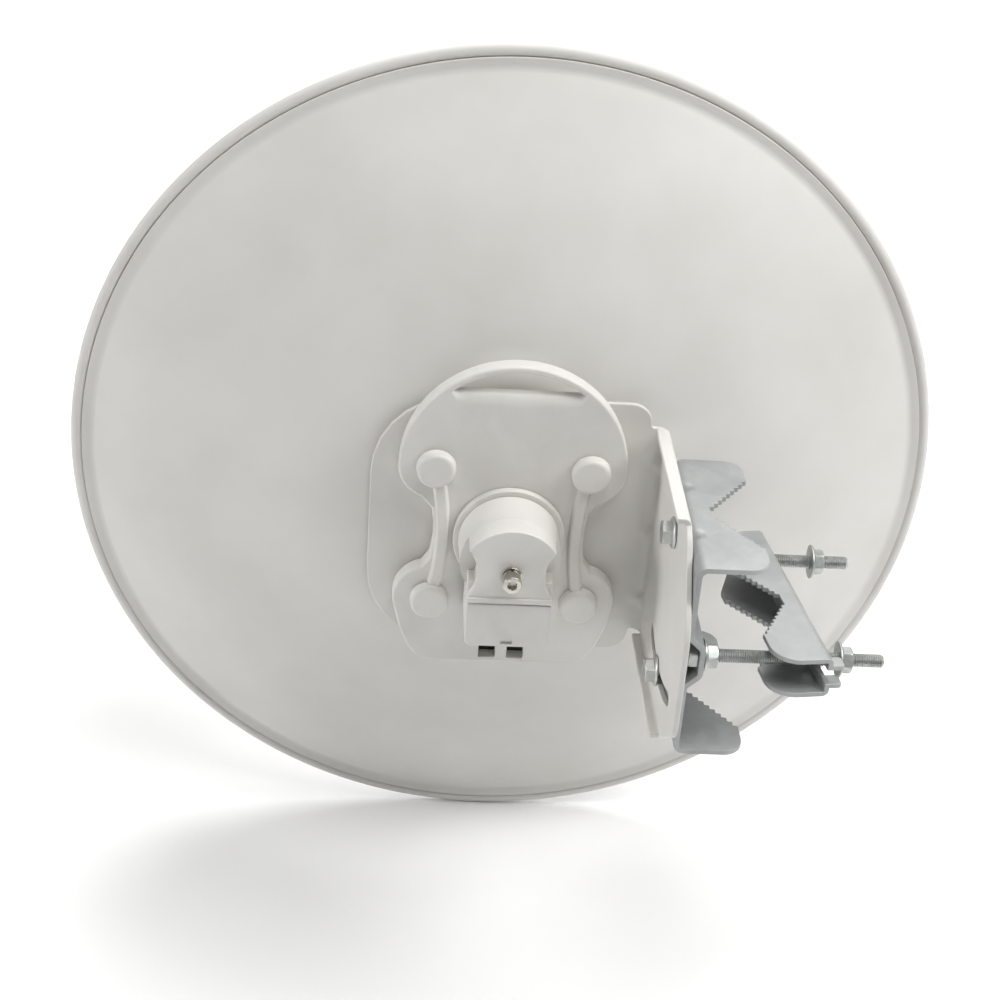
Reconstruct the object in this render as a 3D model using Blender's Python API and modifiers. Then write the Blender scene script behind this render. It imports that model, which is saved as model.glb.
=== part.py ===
# Dish antenna of a wireless bridge, with its radio on the back and its mast clamp at the side.
#
# Frame: metres, +Z up, the dish faces +Y, and its back with the radio faces -Y.
# The origin lies on the raised rib of the clamp channel, on the flat face that looks at the mast.
# The dish pieces are drawn in a frame of their own, in the middle of the rim plane.

import math

import bmesh
import bpy
from mathutils import Vector

# Fits
GAP = 0.0003  # left between two pieces that touch
ARC_STEP = math.radians(15)  # longest turn between two points of a rounded corner
ROUND = 24  # sides of a small round piece

# Reflector, in the dish frame
RIM_PLANE_Y = 0.1235
DISH_AXIS_X = -0.0785
RIM_RADIUS = 0.210
BEAD_RADIUS = 0.0028
SHEET = 0.0013
FLAT_RADIUS = 0.057
BACK_Y = -0.060
HUB_HOLE_RADIUS = 0.0175
DISH_SIDES = 72

# Steel bracket between the dish and the clamp
PLATE = 0.0025
BEND_INSIDE = 0.004
BACK_PLATE_LEFT = -0.0646
BACK_PLATE_HALF_HEIGHT = 0.066
BACK_CORNER_RADIUS = 0.040
BACK_RIGHT_RADIUS = 0.010
RELIEF_LEFT = 0.0618
RELIEF_RIGHT = 0.0645
RELIEF_DEPTH = 0.002
RELIEF_ROUND = 0.001
SIDE_PLATE_RIGHT = 0.0697
SIDE_PLATE_HALF_HEIGHT = 0.0565
SIDE_PLATE_NEAR_Y = -0.178
RETURN_NEAR_Y = -0.147
RETURN_FAR_Y = -0.067
RETURN_WIDTH = 0.0065

# Plastic cover on the bracket
COVER_FACE_Y = -0.072
BOSS_HALF_SPACING = 0.0351
LOBE_RADIUS = 0.0172
HANDLE_RADIUS = 0.052
HANDLE_CENTRE_Z = 0.0343
HANDLE_THICKNESS = 0.0032
WINDOW_SILL_Z = 0.0705
WAIST_X = 0.0348
COVER_BOTTOM_Z = -0.0705
RIB_RADIUS = 0.138
RIB_BOW = 0.0045
RIB_WIDTH = 0.0049
RIB_HEIGHT = 0.0028
CAP_RADIUS = 0.0088
CAP_HEIGHT = 0.0051
PORT_WIDTH = 0.008
PORT_X = (-0.006, 0.0074)
PORT_TOP_Z = -0.0575
PORT_BOTTOM_Z = -0.0675
PORT_DEPTH = 0.0065

# Radio on the hub
COLLAR_RADIUS = 0.026
COLLAR_THICKNESS = 0.003
TUBE_RADIUS = 0.0233
END_FACE_Y = -0.1063
GRIP_START_Y = -0.094
NECK_X = 0.0152
NECK_TOP = (0.0194, 0.012)
NECK_LOW = (0.0190, -0.0115)
BOX_HALF_WIDTH = 0.0195
BOX_BOTTOM_Z = -0.038
LIP_BOTTOM_Z = -0.0145
DOOR_THICKNESS = 0.003
DOOR_HALF_WIDTH = 0.0191
DOOR_NOTCH = (0.0052, 0.0022)
SCREW_HEAD_RADIUS = 0.00425
SCREW_HEAD_HEIGHT = 0.005
WASHER_RADIUS = 0.005
WASHER_THICKNESS = 0.001
SPRING_RADIUS = 0.0044
SPRING_THICKNESS = 0.0014
SCREW_HOLE_RADIUS = 0.00285
SHANK_RADIUS = 0.0025

# Feed in front of the dish
FEED_FLANGE_RADIUS = 0.030
FEED_RADIUS = 0.0165
FEED_END_Y = 0.112
SUBREFLECTOR_RADIUS = 0.029
SUBREFLECTOR_Y = 0.134

# Clamp channel, bolts and nuts
CHANNEL_LENGTH = 0.093
CHANNEL_HALF_HEIGHT = 0.047
WEB_LEFT = -0.0085
WEB_RIGHT = -0.006
CHANNEL_REACH = 0.0225
RIB_FLAT_HALF = 0.0065
RIB_FOOT_HALF = 0.0135
SEAT_START_Y = 0.030
SEAT_DEPTH = 0.0002
SEAT_HALF_HEIGHT = 0.0075
CORNER_RADIUS = 0.009
V_APEX_X = 0.003
V_APEX_HALF = 0.002
V_MOUTH_HALF = 0.0285
TOOTH_COUNT = 9
TOOTH_DEPTH = 0.0013
PIVOT_Z = 0.036
BOLT_HALF_SPACING = 0.0395
BOLT_RADIUS = 0.003
BOLT_LENGTH = 0.080
SHORT_BOLT_LENGTH = 0.016
HOLE_RADIUS = 0.00335
BORE_RADIUS = 0.00325
HEX_ACROSS_FLATS = 0.010
HEAD_HEIGHT = 0.004
NUT_HEIGHT = 0.006
FLANGE_RADIUS = 0.0071
WIDE_FLANGE_RADIUS = 0.0078
FLANGE_THICKNESS = 0.0016
OUTER_NUT_NEAR_X = 0.0575
OUTER_NUT_FAR_X = 0.0597
SLOT_HALF_ANGLE = math.radians(22.5)
SLOT_HALF_WIDTH = 0.0034

# Movable jaw, in its own frame: the outer face of its web at x = 0, +Y to its far end
JAW_SKEW = math.radians(7.6)
JAW_ORIGIN_X = 0.0455
JAW_NEAR = -0.0536
JAW_FAR = 0.0508
JAW_HALF_HEIGHT = 0.0095
JAW_SHEET = 0.0023
JAW_REACH = 0.025
JAW_FAR_REACH = 0.0135
JAW_LOBE_Y = 0.026
JAW_APEX_REACH = 0.009
JAW_APEX_Y = -0.0072
JAW_APEX_HALF = 0.002
JAW_MOUTH_HALF = 0.026
JAW_FORK_END = -0.0345
JAW_SLOT_FAR = (0.0345, 0.0452)
JAW_LIP = 0.0054
JAW_LIP_END = -0.0415

QUARTER = math.pi / 2
FACING_BACK = (QUARTER, 0.0, 0.0)  # a shape's +Z turns to -Y, its +Y to +Z
FACING_FRONT = (-QUARTER, 0.0, 0.0)  # a shape's +Z turns to +Y
FACING_SIDE = (QUARTER, 0.0, QUARTER)  # a shape's +X turns to +Y, its +Y to +Z, its +Z to +X

for old in list(bpy.data.objects):
    bpy.data.objects.remove(old)

parts = bpy.data.collections.new("wireless_bridge_dish_antenna")
cutters = bpy.data.collections.new("cutters")
bpy.context.scene.collection.children.link(parts)
bpy.context.scene.collection.children.link(cutters)


def paint(name, colour, roughness, metallic=0.0):
    material = bpy.data.materials.new(name)
    material.use_nodes = True
    shader = material.node_tree.nodes["Principled BSDF"]
    shader.inputs["Base Color"].default_value = (*colour, 1.0)
    shader.inputs["Roughness"].default_value = roughness
    shader.inputs["Metallic"].default_value = metallic
    return material


WHITE_PAINT = paint("white powder coat", (0.74, 0.74, 0.71), 0.55)
WHITE_PLASTIC = paint("white plastic", (0.76, 0.76, 0.73), 0.42)
ZINC = paint("galvanised steel", (0.50, 0.52, 0.53), 0.45, 0.9)
STEEL = paint("bright steel", (0.62, 0.61, 0.58), 0.32, 1.0)


def empty(name, location, parent=None, rotation=(0.0, 0.0, 0.0)):
    frame = bpy.data.objects.new(name, None)
    frame.location = location
    frame.rotation_euler = rotation
    frame.parent = parent
    parts.objects.link(frame)
    return frame


def rounded(corners):
    # Corners are (x, y, radius): each becomes an arc tangent to its two sides.
    points = []
    count = len(corners)
    for index, (x, y, radius) in enumerate(corners):
        here = Vector((x, y))
        if radius == 0:
            points.append((x, y))
            continue
        before = (Vector(corners[index - 1][:2]) - here).normalized()
        after = (Vector(corners[(index + 1) % count][:2]) - here).normalized()
        half = before.angle(after) / 2
        centre = here + (before + after).normalized() * (radius / math.sin(half))
        start = here + before * (radius / math.tan(half)) - centre
        turn = start.angle_signed(here + after * (radius / math.tan(half)) - centre)
        steps = max(1, math.ceil(abs(turn) / ARC_STEP))
        for step in range(steps + 1):
            angle = -turn * step / steps
            spun = Vector((
                start.x * math.cos(angle) - start.y * math.sin(angle),
                start.x * math.sin(angle) + start.y * math.cos(angle),
            ))
            points.append(tuple(centre + spun))
    return points


def arc(centre, radius, start, end, steps):
    # Angles in degrees, counted from +X towards +Y.
    turn = math.radians(end - start)
    points = []
    for step in range(steps + 1):
        angle = math.radians(start) + turn * step / steps
        points.append((centre[0] + radius * math.cos(angle), centre[1] + radius * math.sin(angle)))
    return points


def circle(centre, radius, sides=ROUND):
    return arc(centre, radius, 0, 360 - 360 / sides, sides - 1)


def mirrored(points):
    # A half outline on the +X side, from top to bottom, closed by its mirror image.
    return points + [(-x, y) for x, y in reversed(points)]


def place(obj, material, collection=parts, parent=None, location=(0, 0, 0), rotation=(0, 0, 0)):
    obj.location = location
    obj.rotation_euler = rotation
    obj.parent = parent
    collection.objects.link(obj)
    if material:
        obj.data.materials.clear()
        obj.data.materials.append(material)
    else:
        obj.hide_render = True
        obj.display_type = "WIRE"
    return obj


def sheet(name, loops, thickness):
    # A flat outline with holes, centred on its own XY plane.
    curve = bpy.data.curves.new(name + " outline", "CURVE")
    curve.dimensions = "2D"
    curve.fill_mode = "BOTH"
    curve.extrude = thickness / 2
    for loop in loops:
        spline = curve.splines.new("POLY")
        spline.points.add(len(loop) - 1)
        for point, (x, y) in zip(spline.points, loop):
            point.co = (x, y, 0.0, 1.0)
        spline.use_cyclic_u = True
    drawn = bpy.data.objects.new(name + " outline", curve)
    bpy.context.scene.collection.objects.link(drawn)
    shape = drawn.evaluated_get(bpy.context.evaluated_depsgraph_get())
    mesh = bpy.data.meshes.new_from_object(shape)
    bpy.data.objects.remove(drawn)
    bpy.data.curves.remove(curve)
    bm = bmesh.new()
    bm.from_mesh(mesh)
    bmesh.ops.remove_doubles(bm, verts=bm.verts, dist=0.00001)
    bmesh.ops.recalc_face_normals(bm, faces=bm.faces)
    bm.to_mesh(mesh)
    bm.free()
    return bpy.data.objects.new(name, mesh)


def turned(name, profile, sides=ROUND, ring=False):
    # A profile of (radius, height) points spun about +Z; a ring's profile closes on itself.
    mesh = bpy.data.meshes.new(name)
    edges = [(index, index + 1) for index in range(len(profile) - 1)]
    if ring:
        edges.append((len(profile) - 1, 0))
    mesh.from_pydata([(radius, 0.0, height) for radius, height in profile], edges, [])
    obj = bpy.data.objects.new(name, mesh)
    screw = obj.modifiers.new("spin", "SCREW")
    screw.axis = "Z"
    screw.steps = sides
    screw.render_steps = sides
    screw.use_merge_vertices = True
    screw.merge_threshold = 0.00001
    screw.use_smooth_shade = True
    return obj


def hexagon(name, across_flats, depth):
    mesh = bpy.data.meshes.new(name)
    bm = bmesh.new()
    radius = across_flats / math.sqrt(3)
    bmesh.ops.create_cone(bm, cap_ends=True, segments=6, radius1=radius, radius2=radius, depth=depth)
    bm.to_mesh(mesh)
    bm.free()
    return bpy.data.objects.new(name, mesh)


def box(name, low, high):
    mesh = bpy.data.meshes.new(name)
    bm = bmesh.new()
    bmesh.ops.create_cube(bm, size=1.0)
    bm.to_mesh(mesh)
    bm.free()
    size = [high[axis] - low[axis] for axis in range(3)]
    middle = [(high[axis] + low[axis]) / 2 for axis in range(3)]
    for vertex in mesh.vertices:
        vertex.co = [middle[axis] + vertex.co[axis] * size[axis] for axis in range(3)]
    return bpy.data.objects.new(name, mesh)


def boolean(obj, tool, operation="DIFFERENCE"):
    modifier = obj.modifiers.new(tool.name, "BOOLEAN")
    modifier.operation = operation
    modifier.object = tool
    modifier.solver = "EXACT"


def tool(obj, parent=None, location=(0, 0, 0), rotation=(0, 0, 0)):
    return place(obj, None, cutters, parent, location, rotation)


# Frames: the dish and all it carries tilt about the pivot bolt
elevation_axis = empty("elevation_axis", (WEB_LEFT, 0.0, PIVOT_Z))
dish_frame = empty(
    "dish_frame",
    (DISH_AXIS_X - WEB_LEFT, RIM_PLANE_Y, -PIVOT_Z),
    elevation_axis,
)
jaw_slide = empty("jaw_slide", (JAW_ORIGIN_X, 0.0, 0.0), rotation=(0.0, 0.0, JAW_SKEW))
door_slide = empty("door_slide", (0.0, END_FACE_Y, 0.0), dish_frame)


def bowl_height(radius):
    # Back surface: flat in the middle, then a parabola that ends at the bead.
    edge = RIM_RADIUS - BEAD_RADIUS * 1.5
    rise = -BACK_Y - BEAD_RADIUS
    return BACK_Y + rise * (radius**2 - FLAT_RADIUS**2) / (edge**2 - FLAT_RADIUS**2)


def make_reflector():
    edge = RIM_RADIUS - BEAD_RADIUS * 1.5
    count = 7
    radii = [FLAT_RADIUS + (edge - FLAT_RADIUS) * step / count for step in range(count)]
    bead_centre = (RIM_RADIUS - BEAD_RADIUS, 0.0)
    bead = arc(bead_centre, BEAD_RADIUS, 195, -110, 8)
    front = [(HUB_HOLE_RADIUS, BACK_Y + SHEET)]
    front += [(radius, bowl_height(radius) + SHEET) for radius in radii]
    back = [(radius, bowl_height(radius)) for radius in reversed(radii)]
    back.append((HUB_HOLE_RADIUS, BACK_Y))
    reflector = turned("reflector", front + bead + back, DISH_SIDES, ring=True)
    place(reflector, WHITE_PAINT, parent=dish_frame, rotation=FACING_FRONT)


def make_bracket():
    back_y = BACK_Y - GAP
    front_y = back_y - PLATE
    left = SIDE_PLATE_RIGHT - PLATE
    outside = BEND_INSIDE + PLATE
    section = rounded([
        (BACK_PLATE_LEFT, back_y, 0),
        (BACK_PLATE_LEFT, front_y, 0),
        (left, front_y, BEND_INSIDE),
        (left, SIDE_PLATE_NEAR_Y, 0),
        (SIDE_PLATE_RIGHT, SIDE_PLATE_NEAR_Y, 0),
        (SIDE_PLATE_RIGHT, back_y, outside),
    ])
    bracket = sheet("mount_bracket", [section], BACK_PLATE_HALF_HEIGHT * 2)
    place(bracket, WHITE_PAINT, parent=dish_frame)

    # Seen from the back: a plate with rounded corners, and a relief notch at each end of the bend
    beyond = 0.09
    height = BACK_PLATE_HALF_HEIGHT
    side = SIDE_PLATE_HALF_HEIGHT
    notch_z = side - RELIEF_DEPTH
    half = [
        (BACK_PLATE_LEFT, height, BACK_CORNER_RADIUS),
        (RELIEF_LEFT, height, BACK_RIGHT_RADIUS),
        (RELIEF_LEFT, notch_z, RELIEF_ROUND),
        (RELIEF_RIGHT, notch_z, RELIEF_ROUND),
        (RELIEF_RIGHT, side, 0),
        (beyond, side, 0),
    ]
    outline = rounded(half + [(x, -z, radius) for x, z, radius in reversed(half)])
    border = [(-beyond, -beyond), (beyond * 1.1, -beyond), (beyond * 1.1, beyond), (-beyond, beyond)]
    back_trim = sheet("back trim", [border, outline], 0.30)
    boolean(bracket, tool(back_trim, dish_frame, (0, BACK_Y, 0), FACING_BACK))

    # Seen from the side: the near end slopes back towards its top and its bottom
    near, end = SIDE_PLATE_NEAR_Y, RETURN_NEAR_Y
    far, clear = 0.01, side + 0.02
    side_outline = rounded([
        (far, clear, 0),
        (end, clear, 0),
        (end, side - PLATE, 0.001),
        (end - 0.006, side - PLATE - 0.004, 0.010),
        (near, 0.018, 0.025),
        (near, -0.0325, 0.013),
        (end, -side, 0),
        (end, -clear, 0),
        (far, -clear, 0),
    ])
    border = [(-0.30, -0.12), (0.02, -0.12), (0.02, 0.12), (-0.30, 0.12)]
    side_trim = sheet("side trim", [border, side_outline], 0.03)
    boolean(bracket, tool(side_trim, dish_frame, (left + 0.008, 0, 0), FACING_SIDE))

    # The side plate's long edges turn back towards the radio
    for sign, word in ((1, "top"), (-1, "bottom")):
        low_z, high_z = sorted((sign * side, sign * (side - PLATE)))
        strip = box(
            word + " return",
            (SIDE_PLATE_RIGHT - RETURN_WIDTH, RETURN_NEAR_Y, low_z),
            (SIDE_PLATE_RIGHT - PLATE / 2, RETURN_FAR_Y, high_z),
        )
        boolean(bracket, tool(strip, dish_frame), "UNION")

    # Holes: the feed, the pivot bolt and the curved slot
    depth = 0.01
    hub = sheet("hub hole", [circle((0, 0), HUB_HOLE_RADIUS + GAP)], depth)
    boolean(bracket, tool(hub, dish_frame, (0, BACK_Y, 0), FACING_BACK))
    pivot = sheet("pivot hole", [circle((0, 0), HOLE_RADIUS, 16)], depth)
    boolean(bracket, tool(pivot, elevation_axis, (0, 0, 0), FACING_SIDE))
    swing = 2 * PIVOT_Z
    turn = math.degrees(SLOT_HALF_ANGLE)
    end_y, end_z = swing * math.sin(SLOT_HALF_ANGLE), -swing * math.cos(SLOT_HALF_ANGLE)
    slot = arc((0, 0), swing - SLOT_HALF_WIDTH, -90 + turn, -90 - turn, 8)
    slot += arc((-end_y, end_z), SLOT_HALF_WIDTH, 90 - turn, 270 - turn, 6)[1:-1]
    slot += arc((0, 0), swing + SLOT_HALF_WIDTH, -90 - turn, -90 + turn, 8)
    slot += arc((end_y, end_z), SLOT_HALF_WIDTH, turn - 90, turn + 90, 6)[1:-1]
    slot_cut = sheet("elevation slot", [slot], depth)
    boolean(bracket, tool(slot_cut, elevation_axis, (0, 0, 0), FACING_SIDE))


def cover_outline():
    spacing = BOSS_HALF_SPACING
    upper = arc((0, HANDLE_CENTRE_Z), HANDLE_RADIUS, 90, 0, 12)
    upper += arc((spacing, spacing), LOBE_RADIUS, -10, -70, 4)
    waist = [(WAIST_X + 0.0012, 0.013), (WAIST_X, 0.004), (WAIST_X, -0.004), (WAIST_X + 0.0012, -0.013)]
    lower = arc((spacing, -spacing), LOBE_RADIUS, 75, -15, 6)
    foot = [(0.0485, -0.052), (0.0445, -0.062), (0.040, -0.0680), (0.034, COVER_BOTTOM_Z)]
    half = upper + waist + lower + foot
    return mirrored(half[1:]) + [half[0]]


def make_cover():
    back_y = BACK_Y - PLATE - 2 * GAP
    depth = back_y - COVER_FACE_Y
    middle_y = (back_y + COVER_FACE_Y) / 2
    inner = HANDLE_RADIUS - HANDLE_THICKNESS
    rise = WINDOW_SILL_Z - HANDLE_CENTRE_Z
    sill = math.degrees(math.asin(rise / inner))
    window = arc((0, HANDLE_CENTRE_Z), inner, sill, 180 - sill, 14)
    cover = sheet("rear_cover", [cover_outline(), window], depth)
    place(cover, WHITE_PLASTIC, parent=dish_frame, location=(0, middle_y, 0), rotation=FACING_BACK)
    for sign, word in ((-1, "left"), (1, "right")):
        centre = (sign * (BOSS_HALF_SPACING - RIB_BOW + RIB_RADIUS), 0)
        spread = math.degrees(math.asin(BOSS_HALF_SPACING / RIB_RADIUS))
        middle = 0 if sign < 0 else 180
        outer = arc(centre, RIB_RADIUS + RIB_WIDTH / 2, middle - spread, middle + spread, 10)
        nearer = arc(centre, RIB_RADIUS - RIB_WIDTH / 2, middle + spread, middle - spread, 10)
        rib = sheet(word + " rib", [outer + nearer], RIB_HEIGHT + 0.001)
        rib_y = COVER_FACE_Y - (RIB_HEIGHT - 0.001) / 2
        boolean(cover, tool(rib, dish_frame, (0, rib_y, 0), FACING_BACK), "UNION")
        for level, row in ((1, "upper"), (-1, "lower")):
            spot = (sign * BOSS_HALF_SPACING, level * BOSS_HALF_SPACING)
            seat = sheet(word + " " + row + " seat", [circle(spot, CAP_RADIUS + 0.0004)], RIB_HEIGHT * 2)
            seat_y = COVER_FACE_Y - RIB_HEIGHT
            boolean(cover, tool(seat, dish_frame, (0, seat_y, 0), FACING_BACK))
    for index, x in enumerate(PORT_X):
        port = box(
            "port " + str(index + 1),
            (x - PORT_WIDTH / 2, COVER_FACE_Y - 0.002, PORT_BOTTOM_Z),
            (x + PORT_WIDTH / 2, COVER_FACE_Y + PORT_DEPTH, PORT_TOP_Z),
        )
        boolean(cover, tool(port, dish_frame))
    hub = sheet("cover hub hole", [circle((0, 0), HUB_HOLE_RADIUS + GAP)], 0.03)
    boolean(cover, tool(hub, dish_frame, (0, BACK_Y, 0), FACING_BACK))


def make_caps():
    edge = 0.0012
    profile = [
        (0, CAP_HEIGHT),
        (CAP_RADIUS - edge, CAP_HEIGHT),
        (CAP_RADIUS - edge * 0.3, CAP_HEIGHT - edge * 0.3),
        (CAP_RADIUS, CAP_HEIGHT - edge),
        (CAP_RADIUS, 0),
        (0, 0),
    ]
    for row, z in (("upper", BOSS_HALF_SPACING), ("lower", -BOSS_HALF_SPACING)):
        for side, x in (("left", -BOSS_HALF_SPACING), ("right", BOSS_HALF_SPACING)):
            cap = turned("screw_cap_" + row + "_" + side, profile)
            spot = (x, COVER_FACE_Y - GAP, z)
            place(cap, WHITE_PLASTIC, parent=dish_frame, location=spot, rotation=FACING_BACK)


def make_front_screws():
    radius = 0.0058
    height = 0.0035
    profile = [(0, height), (radius * 0.6, height), (radius, height * 0.45), (radius, 0), (0, 0)]
    for row, z in (("upper", BOSS_HALF_SPACING), ("lower", -BOSS_HALF_SPACING)):
        for side, x in (("left", -BOSS_HALF_SPACING), ("right", BOSS_HALF_SPACING)):
            screw = turned("dish_screw_" + row + "_" + side, profile, 16)
            spot = (x, BACK_Y + SHEET + GAP, z)
            place(screw, STEEL, parent=dish_frame, location=spot, rotation=FACING_FRONT)


def grip_outline():
    # End face of the radio: a round top, hollow finger grips at the sides, then the cable box.
    top_angle = math.degrees(math.atan2(NECK_TOP[1], NECK_TOP[0]))
    half = arc((0, 0), math.hypot(*NECK_TOP), 90, top_angle, 6)
    chord = (NECK_TOP[1] - NECK_LOW[1]) / 2
    middle_z = (NECK_TOP[1] + NECK_LOW[1]) / 2
    sag = (NECK_TOP[0] + NECK_LOW[0]) / 2 - NECK_X
    radius = (chord**2 + sag**2) / (2 * sag)
    spread = math.degrees(math.asin(chord / radius))
    half += arc((NECK_X + radius, middle_z), radius, 180 - spread, 180 + spread, 8)[1:]
    half += [(BOX_HALF_WIDTH, -0.0118), (BOX_HALF_WIDTH, LIP_BOTTOM_Z)]
    return mirrored(half[1:]) + [half[0]]


def make_radio():
    collar_y = COVER_FACE_Y - GAP
    collar = turned(
        "hub_collar",
        [
            (0, COLLAR_THICKNESS),
            (COLLAR_RADIUS - 0.0012, COLLAR_THICKNESS),
            (COLLAR_RADIUS, COLLAR_THICKNESS - 0.0012),
            (COLLAR_RADIUS, 0),
            (0, 0),
        ],
        36,
    )
    place(collar, WHITE_PLASTIC, parent=dish_frame, location=(0, collar_y, 0), rotation=FACING_BACK)

    start_y = collar_y - COLLAR_THICKNESS - GAP
    length = start_y - GRIP_START_Y
    body = turned(
        "radio_body",
        [(0, length), (TUBE_RADIUS, length), (TUBE_RADIUS, 0), (0, 0)],
        48,
    )
    place(body, WHITE_PLASTIC, parent=dish_frame, location=(0, start_y, 0), rotation=FACING_BACK)
    grip_depth = GRIP_START_Y - END_FACE_Y
    overlap = 0.001
    grip = sheet("radio end", [grip_outline()], grip_depth + overlap)
    grip_y = (GRIP_START_Y + overlap + END_FACE_Y) / 2
    boolean(body, tool(grip, dish_frame, (0, grip_y, 0), FACING_BACK), "UNION")
    cable_box = box(
        "cable box",
        (-DOOR_HALF_WIDTH, END_FACE_Y + DOOR_THICKNESS + GAP, BOX_BOTTOM_Z),
        (DOOR_HALF_WIDTH, start_y, -0.005),
    )
    boolean(body, tool(cable_box, dish_frame), "UNION")
    bore = sheet("screw hole", [circle((0, 0), SCREW_HOLE_RADIUS, 16)], 0.016)
    boolean(body, tool(bore, dish_frame, (0, END_FACE_Y, 0), FACING_BACK))


def make_door():
    notch_half, notch_height = DOOR_NOTCH[0] / 2, DOOR_NOTCH[1]
    notch_z = BOX_BOTTOM_Z + 0.0012
    outline = rounded([
        (-DOOR_HALF_WIDTH, LIP_BOTTOM_Z - GAP * 3, 0),
        (-DOOR_HALF_WIDTH, BOX_BOTTOM_Z, 0.003),
        (DOOR_HALF_WIDTH, BOX_BOTTOM_Z, 0.003),
        (DOOR_HALF_WIDTH, LIP_BOTTOM_Z - GAP * 3, 0),
    ])
    door = sheet("cable_door", [outline], DOOR_THICKNESS)
    middle = (0, DOOR_THICKNESS / 2, 0)
    place(door, WHITE_PLASTIC, parent=door_slide, location=middle, rotation=FACING_BACK)
    notch = box(
        "door notch",
        (-notch_half, -0.001, notch_z),
        (notch_half, 0.0012, notch_z + notch_height),
    )
    boolean(door, tool(notch, door_slide))


def make_captive_screw():
    washer_y = END_FACE_Y - GAP
    spring_y = washer_y - WASHER_THICKNESS - GAP
    head_y = spring_y - SPRING_THICKNESS - GAP
    washer = turned(
        "flat_washer",
        [
            (WASHER_RADIUS, WASHER_THICKNESS),
            (WASHER_RADIUS, 0),
            (SCREW_HOLE_RADIUS, 0),
            (SCREW_HOLE_RADIUS, WASHER_THICKNESS),
        ],
        ring=True,
    )
    place(washer, STEEL, parent=dish_frame, location=(0, washer_y, 0), rotation=FACING_BACK)
    spring = turned(
        "spring_washer",
        [
            (SPRING_RADIUS, SPRING_THICKNESS),
            (SPRING_RADIUS, 0),
            (SCREW_HOLE_RADIUS, 0),
            (SCREW_HOLE_RADIUS, SPRING_THICKNESS),
        ],
        ring=True,
    )
    place(spring, STEEL, parent=dish_frame, location=(0, spring_y, 0), rotation=FACING_BACK)
    split = box("spring split", (-0.0002, -0.001, 0), (0.0002, SPRING_THICKNESS * 2, 0.006))
    boolean(spring, tool(split, dish_frame, (0, spring_y - SPRING_THICKNESS, 0)))
    shank_length = 0.010
    edge = 0.0005
    screw = turned(
        "captive_screw",
        [
            (0, SCREW_HEAD_HEIGHT),
            (SCREW_HEAD_RADIUS - edge, SCREW_HEAD_HEIGHT),
            (SCREW_HEAD_RADIUS, SCREW_HEAD_HEIGHT - edge),
            (SCREW_HEAD_RADIUS, 0),
            (SHANK_RADIUS, 0),
            (SHANK_RADIUS, -shank_length),
            (0, -shank_length),
        ],
    )
    place(screw, STEEL, parent=dish_frame, location=(0, head_y, 0), rotation=FACING_BACK)
    socket = hexagon("screw socket", 0.004, 0.005)
    boolean(screw, tool(socket, dish_frame, (0, head_y - SCREW_HEAD_HEIGHT, 0), FACING_BACK))


def make_feed():
    front_y = BACK_Y + SHEET + GAP
    thick = 0.003
    feed = turned(
        "feed_tube",
        [
            (0, FEED_END_Y),
            (FEED_RADIUS, FEED_END_Y),
            (FEED_RADIUS, front_y + thick + 0.004),
            (FEED_RADIUS + 0.004, front_y + thick),
            (FEED_FLANGE_RADIUS, front_y + thick),
            (FEED_FLANGE_RADIUS, front_y),
            (FEED_RADIUS, front_y),
            (FEED_RADIUS, COVER_FACE_Y),
            (0, COVER_FACE_Y),
        ],
        36,
    )
    place(feed, WHITE_PLASTIC, parent=dish_frame, rotation=FACING_FRONT)
    start = FEED_END_Y + GAP
    cap = turned(
        "feed_cap",
        [
            (0, SUBREFLECTOR_Y),
            (SUBREFLECTOR_RADIUS - 0.002, SUBREFLECTOR_Y),
            (SUBREFLECTOR_RADIUS, SUBREFLECTOR_Y - 0.002),
            (SUBREFLECTOR_RADIUS, SUBREFLECTOR_Y - 0.006),
            (FEED_RADIUS, start),
            (0, start),
        ],
        36,
    )
    place(cap, WHITE_PLASTIC, parent=dish_frame, rotation=FACING_FRONT)


def toothed_edge(start, end):
    # A straight edge of the notch with rounded teeth that reach into the notch.
    first, last = Vector(start), Vector(end)
    along = (last - first) / TOOTH_COUNT
    out = Vector((-along.y, along.x)).normalized() * TOOTH_DEPTH
    points = []
    for tooth in range(TOOTH_COUNT):
        root = first + along * tooth
        points.append(tuple(root))
        points.append(tuple(root + along * 0.5 + out))
    points.append(tuple(last))
    return points


def notch_outline(apex_x, mouth_x, apex_half, mouth_half, middle_y, beyond):
    # The V that grips the mast, open towards the side of mouth_x and cut a little past it.
    side = 1 if mouth_x > apex_x else -1
    low = toothed_edge((mouth_x, middle_y - side * mouth_half), (apex_x, middle_y - side * apex_half))
    high = toothed_edge((apex_x, middle_y + side * apex_half), (mouth_x, middle_y + side * mouth_half))
    past = mouth_x + side * beyond
    return [(past, middle_y - side * mouth_half)] + low + high + [(past, middle_y + side * mouth_half)]


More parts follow.
